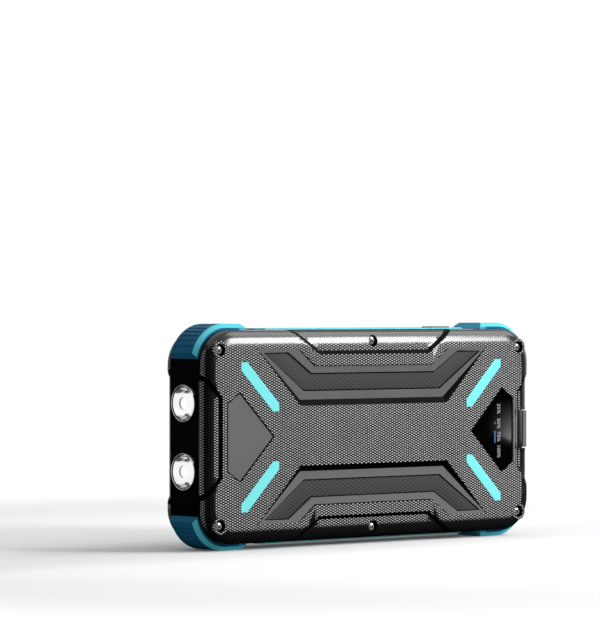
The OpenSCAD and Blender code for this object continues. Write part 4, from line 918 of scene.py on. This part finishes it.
# lamps
lamp = {"baseRadius": 2.6, "rimRadius": 6.0, "seatRadius": 6.5, "lensDepth": 1.3, "wall": 0.6, "edge": 0.15,
        "steps": 20, "ledRadius": 2.4, "ledHeight": 1.0, "ledEdge": 0.1, "ledSeat": 1.6, "domeRadius": 1.35,
        "lensSink": 0.1, "lensRadius": 6.2, "opticFoot": 2.8, "opticGap": 0.4,
        "eyeRadius": 2.2, "eyeDepth": 0.7, "eyeDome": 0.2}
outward = (-1, 0, 0)
flare = lamp["rimRadius"] - lamp["baseRadius"]
for end in ("top", "bottom"):
    low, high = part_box("lamp_reflector_" + end)
    centre = (low + high) / 2
    centre.x = high.x  # the lamp board's face
    depth = (high.x - low.x) / mm
    outer = (high.z - low.z) / 2 / mm
    cup = depth - lamp["lensDepth"]
    seat, edge = lamp["seatRadius"], lamp["edge"]
    shares = [k / lamp["steps"] for k in range(lamp["steps"] + 1)]
    bowl = [(lamp["baseRadius"] + flare * share, cup * share ** 2) for share in shares]
    rim = [(seat, cup + 0.02), (seat, depth - edge), (seat + edge, depth), (outer - 0.1, depth),
           (outer, depth - edge), (outer, cup - 1.0), (outer - lamp["wall"], cup - 1.4)]
    # the reflector's rim face takes the optic's painted glow and painted reflections, its seat chamfer and
    # wall the plain black finish as painted shade in the gap round the lens
    reflector = turned("lampReflector_" + end, rim[::-1] + bowl[::-1], centre, outward,
                       ["lampChrome", "shellSmooth", "opticRim"], [0] * 3 + [2, 1, 1] + [0] * len(bowl))
    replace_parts(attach(reflector, "charger"), "lamp_reflector_" + end)

    radius, height, edge, ball = lamp["ledRadius"], lamp["ledHeight"], lamp["ledEdge"], lamp["domeRadius"]
    base = [(radius, 0.0), (radius, height - edge), (radius - edge, height), (lamp["ledSeat"], height),
            (ball + edge, height - edge), (ball + edge / 2, height - edge / 2)]
    turns = [math.pi / 2 * k / 10 for k in range(11)]
    dome = [(ball * math.cos(turn), height + ball * math.sin(turn)) for turn in turns]
    emitter = turned("lampEmitter_" + end, (base + dome)[::-1], centre, outward, ["ledGlow", "ledBase"],
                     [0] * len(dome) + [1] * len(base), steps=40)
    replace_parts(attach(emitter, "charger"), "lamp_leds")

    top = depth - lamp["lensSink"]
    eye, radius, foot = lamp["eyeRadius"], lamp["lensRadius"], lamp["opticFoot"]
    front = [(max(eye * k / 6, 0.001), top - lamp["eyeDepth"] + lamp["eyeDome"] * (1 - (k / 6) ** 2))
             for k in range(7)]
    front += [(eye, top - 0.12), (eye + 0.12, top), (radius - 0.3, top), (radius - 0.08, top - 0.08),
              (radius, top - 0.3), (radius, cup)]
    cone = [(lamp["baseRadius"] + flare * math.sqrt(z / cup) - lamp["opticGap"], z)
            for z in np.linspace(cup, foot, 10)] + [(0.001, foot)]
    lens = turned("lampLens_" + end, front + cone, centre, outward, ["opticGlow", "opticShade", "opticWhite"],
                  [0] * 6 + [1] * 2 + [2] * (len(front) + len(cone) - 9))
    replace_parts(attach(lens, "charger"), "lamp_lens_" + end)
print("lamps made")

# screw heads with a cross recess
screw = {"radius": 1.6, "height": 1.1, "edge": 0.35, "slotLength": 0.95, "slotWidth": 0.24, "slotDepth": 0.6}


def plusOutline(half, b):
    arm = [(half, -b), (half, b), (b, b)]
    loop = []
    for _ in range(4):
        loop += arm
        arm = [(-q, p) for p, q in arm]
    return loop


def screwHead(name, centre, axis):
    profile = [(screw["radius"], 0.0), (screw["radius"], screw["edge"])]
    rise = screw["height"] - screw["edge"]
    for k in range(1, 9):
        turn = math.pi / 2 * k / 8
        profile.append((max(screw["radius"] * math.cos(turn), 0.001), screw["edge"] + rise * math.sin(turn)))
    return turned(name, profile[::-1], centre, axis, ["screwChrome"], steps=36)


def crossPlug(name, centre, axis):
    axis, side, up = axisFrame(axis)
    outline = plusOutline(screw["slotLength"], screw["slotWidth"])
    verts = [centre + (side * p + up * q + axis * h) * mm
             for h in (screw["height"] - screw["slotDepth"], screw["height"] + 0.1) for p, q in outline]
    count = len(outline)
    faces = [(i, (i + 1) % count, count + (i + 1) % count, count + i) for i in range(count)]
    faces += [tuple(range(count))[::-1], tuple(range(count, 2 * count))]
    return meshPiece(name, verts, faces, ["shellSmooth"], smooth=False)


for i, (x, v) in enumerate(cornerScrews + midScrews):
    seat = cover["face"] - cover["screwSink" if x else "midScrewSink"]
    head = screwHead(f"coverScrew_{i}", spot(x, v, seat), (0, -1, 0))
    cutter = crossPlug(f"screwCross_{i}", spot(x, v, seat), (0, -1, 0))
    recess = head.modifiers.new("cross", "BOOLEAN")
    recess.operation = "DIFFERENCE"
    recess.object = cutter
    bpy.context.view_layer.update()
    shaped = bpy.data.meshes.new_from_object(head.evaluated_get(bpy.context.evaluated_depsgraph_get()))
    head.modifiers.clear()
    head.data = shaped
    bpy.data.objects.remove(cutter)
    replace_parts(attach(head, "charger"), "cover_screws")
print("screws made")

# charge marks on the window
marks = {"column": 65.7, "size": 2.4, "proud": 0.02, "blueColumn": 63.7, "plusAt": 2.7, "plusHalf": 0.6,
         "stroke": 0.15, "barAt": (-5.2, -0.5), "barHalf": 0.34, "barTaper": 0.5,
         "numbers": (("25%", 8.4), ("50%", 2.5), ("75%", -2.7), ("100%", -8.5))}
windowFace = -nodeSize("indicator_window")[0].y


def printPiece(name, outline, material):
    verts = [spot(marks["blueColumn"] + x, v, windowFace + marks["proud"]) for x, v in outline]
    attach(meshPiece(name, verts, [tuple(range(len(verts)))], [material], smooth=False), "charger")


barFoot, barHead = marks["barAt"]
wide, narrow, taper = marks["barHalf"], marks["barHalf"] * 0.6, barFoot + marks["barTaper"]
plusLoop = plusOutline(marks["plusHalf"], marks["stroke"])
printPiece("markPlus", [(p, marks["plusAt"] + q) for p, q in plusLoop], "printBlue")
printPiece("markBar", [(-wide, taper), (-narrow, barFoot), (narrow, barFoot), (wide, taper), (wide, barHead),
                       (-wide, barHead)], "printBlue")
for text, v in marks["numbers"]:
    curve = bpy.data.curves.new("mark" + text[:-1], "FONT")
    curve.body = text
    curve.size = marks["size"] * mm
    curve.align_x = "CENTER"
    curve.align_y = "CENTER"
    made = addObject("mark" + text[:-1], curve)
    made.rotation_euler = (math.pi / 2, math.pi / 2, 0)
    made.location = spot(marks["column"], v, windowFace + marks["proud"])
    curve.materials.append(finishes["printWhite"])
    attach(made, "charger")
print("marks made")

# kept CAD pieces: their finish and the rounding of their edges in mm
keptFinish = {
    "mid_frame": ("frameSilver", 0.25), "diamond_plate": ("plateGrey", 0.12),
    "side_grip_top": ("gripBlue", 0.15), "side_grip_bottom": ("gripBlue", 0.15),
    "indicator_window": ("windowBlack", 0.1), "lamp_end_plate": ("endBlack", 0.2),
    "port_end_plate": ("endBlack", 0.12), "port_cover": ("flapGrey", 0.25),
    "usb_a_socket_top": ("socketSteel", 0.08), "usb_a_socket_bottom": ("socketSteel", 0.08),
    "usb_c_socket": ("socketSteel", 0.06), "usb_tongues": ("tongueDark", 0.1),
    "power_button": ("buttonBlack", 0.3), "button_switch": ("partDark", 0.1),
    "board_parts": ("partDark", 0.1), "main_board": ("boardGreen", 0), "lamp_board": ("boardGreen", 0),
    "battery_cell_upper": ("batteryFoil", 0.5), "battery_cell_lower": ("batteryFoil", 0.5),
    "cell_board": ("panelBlack", 0), "solar_cells": ("cellSilicon", 0), "clear_sheet": ("sheetClear", 0),
    "cover_gasket": ("gasketBlack", 0), "board_screws": ("screwChrome", 0),
    "switch_plunger": ("plungerWhite", 0), "indicator_leds": ("ledBase", 0), "light_guide": ("guideClear", 0),
    "battery_foam": ("foamGrey", 0), "battery_tape": ("tapeWhite", 0), "battery_leads": ("leadRed", 0),
    "solar_leads": ("leadRed", 0), "lamp_leads": ("leadBlack", 0),
}
for quarter in ("lamp_top", "lamp_bottom", "port_top", "port_bottom"):
    keptFinish["bumper_" + quarter] = ("bumperBlue", 0.2)
    keptFinish["accent_strip_" + quarter] = ("stripCyan", 0.1)
for name, (finish, rounding) in keptFinish.items():
    kept = cadNodes[name]
    kept.data.materials.clear()
    kept.data.materials.append(finishes[finish])
    if rounding:
        weld = kept.modifiers.new("weld", "WELD")
        weld.merge_threshold = 0.002 * mm
        soften = kept.modifiers.new("soften", "BEVEL")
        soften.width = rounding * mm
        soften.segments = 3
        soften.limit_method = "ANGLE"
        soften.angle_limit = math.radians(28)
        soften.harden_normals = True
        kept.modifiers.new("even", "WEIGHTED_NORMAL").keep_sharp = True
print("kept pieces finished:", len(keptFinish))

# floor and surroundings
studio = {"floorSize": 6.0, "floorTones": ((249, 249, 249), (251, 251, 252)), "floorBounce": (150, 150, 151),
          "shadowReach": (0.16, 0.5), "floorLift": 0.2, "underReach": (0.012, 0.06), "underLift": 0.25,
          "skyFill": 0.39}


def stagedMesh(name, verts, faces, material):
    mesh = bpy.data.meshes.new(name)
    mesh.from_pydata(verts, [], faces)
    mesh.materials.append(material)
    made = addObject(name, mesh)
    return made


def seenBackground(tree):  # 1 for the camera and for what metal and glass show
    path = place(tree, "ShaderNodeLightPath").outputs
    shown = larger(path["Is Glossy Ray"], path["Is Transmission Ray"])
    return larger(path["Is Camera Ray"], shown)


def floorFinish(name):
    made, tree, surface = startMaterial(name, Roughness=0.9, Specular_IOR_Level=0.0,
                                        Emission_Color=(1, 1, 1, 1))
    axes, _ = groupAxes(tree)
    seen = seenBackground(tree)
    far = ramp(calc("SQRT", squareSum(axes[0], axes[1])), *studio["shadowReach"])
    tone = useGroup(tree, mouldGrain, Grain=400.0, Patch=6.0)["Tone"]
    paper = mixColour(tone, *studio["floorTones"])
    paper = mixColour(seen, studio["floorBounce"], paper)  # less light thrown back up
    # painted shade: a band of weaker lift along the object darkens the floor under and beside it
    under = ramp(absolute(axes[1]), *studio["underReach"], studio["underLift"], 1.0)
    lift = ramp(far, 0.0, 1.0, times(under, studio["floorLift"]), 1.0)
    feed(surface, Base_Color=mixColour(times(far, seen), paper, (0, 0, 0)),
         Emission_Strength=times(seen, lift))
    return made


half = studio["floorSize"] / 2
stagedMesh("floor", [(-half, -half, 0), (half, -half, 0), (half, half, 0), (-half, half, 0)], [(0, 1, 2, 3)],
           floorFinish("floorPaper"))
world = bpy.data.worlds.new("studio")
bpy.context.scene.world = world
world.use_nodes = True
tree = world.node_tree
sky = ramp(seenBackground(tree), 0.0, 1.0, studio["skyFill"], 1.0)
feed(tree.nodes["Background"], Color=(1, 1, 1, 1), Strength=sky)


def reflectionOnly(made):
    made.visible_camera = made.visible_diffuse = made.visible_shadow = made.visible_transmission = False


# black flags round the set, seen only in reflections: bearings from and to in degrees, low and high in metres
flags = {"distance": 0.8, "sides": ((-165, 10, 0.0, 0.9), (10, 50, 0.0, 0.15), (50, 70, 0.0, 0.35)),
         "floorReach": (-1.6, 0.25), "floorHalf": 1.2, "floorLift": 0.0006, "steps": 12}


def makeFlags():
    verts, faces = [], []
    for start, end, low, high in flags["sides"]:
        for i in range(flags["steps"]):
            first = len(verts)
            for k in (i, i + 1):
                turn = math.radians(start + (end - start) * k / flags["steps"])
                x, y = flags["distance"] * math.sin(turn), -flags["distance"] * math.cos(turn)
                verts += [(x, y, low), (x, y, high)]
            faces.append((first, first + 1, first + 3, first + 2))
    first = len(verts)
    side, (reach, near), z = flags["floorHalf"], flags["floorReach"], flags["floorLift"]
    verts += [(-side, reach, z), (side, reach, z), (side, near, z), (-side, near, z)]
    faces.append((first, first + 1, first + 2, first + 3))
    reflectionOnly(stagedMesh("flags", verts, faces, finishes["flagBlack"]))


makeFlags()

# camera
camera = {"place": (-0.9218, -1.0583, 0.0917), "look": (0.6457, 0.7636, 0.0), "sensor": 36, "lens": 207.4,
          "shiftY": -0.0121, "clip": (0.05, 50)}
lensData = bpy.data.cameras.new("photoCamera")
lensData.sensor_width = camera["sensor"]
lensData.lens = camera["lens"]
lensData.shift_y = camera["shiftY"]
lensData.clip_start, lensData.clip_end = camera["clip"]
view = addObject("photoCamera", lensData)
view.location = camera["place"]
view.rotation_euler = Vector(camera["look"]).to_track_quat("-Z", "Y").to_euler()
bpy.context.scene.camera = view
bpy.context.scene.view_settings.view_transform = "Standard"

# a bright card at the side that the window shows as a soft grey patch, seen only in reflections
card = {"strength": 7.0, "reach": 0.5, "out": 1.0, "back": 13.0, "high": 13.0, "lowOut": -4.9,
        "lowBack": -0.4}


def makeCard():
    edgeX = nodeSize("indicator_window")[1].x
    verts = []
    for x, v in ((card["out"], card["lowOut"]), (card["out"], card["high"]), (-card["back"], card["high"]),
                 (-card["back"], card["lowBack"])):
        shown = spot(edgeX + x, v, windowFace)
        ray = shown - Vector(camera["place"])
        verts.append(shown + Vector((ray.x, -ray.y, ray.z)) * card["reach"])
    material, tree, surface = startMaterial("cardWhite", Base_Color=(0, 0, 0, 1), Specular_IOR_Level=0.0,
                                            Emission_Color=(1, 1, 1, 1))
    axes, _ = groupAxes(tree)
    both = times(ramp(axes[0], verts[2].x, verts[1].x, kind="LINEAR"),
                 ramp(axes[2], verts[1].z, verts[0].z, kind="LINEAR"))  # brightest at one corner
    feed(surface, Emission_Strength=times(times(both, both), card["strength"]))
    reflectionOnly(stagedMesh("card", verts, [(0, 1, 2, 3)], material))


makeCard()

# lights
lights = {
    "keyBox": {"place": (0.74, -0.89, 0.44), "aim": (0, 0, 0.05), "size": (0.34, 0.39), "power": 10.8},
    "topBox": {"place": (0.65, -0.36, 0.72), "aim": (0, 0, 0.04), "size": (0.55, 0.6), "power": 4.2},
}
for name, values in lights.items():
    light = bpy.data.lights.new(name, "AREA")
    light.shape = "RECTANGLE"
    light.size, light.size_y = values["size"]
    light.energy = values["power"]
    made = addObject(name, light)
    made.location = values["place"]
    way = Vector(values["aim"]) - Vector(values["place"])
    made.rotation_euler = way.to_track_quat("-Z", "Y").to_euler()
print("stage set")
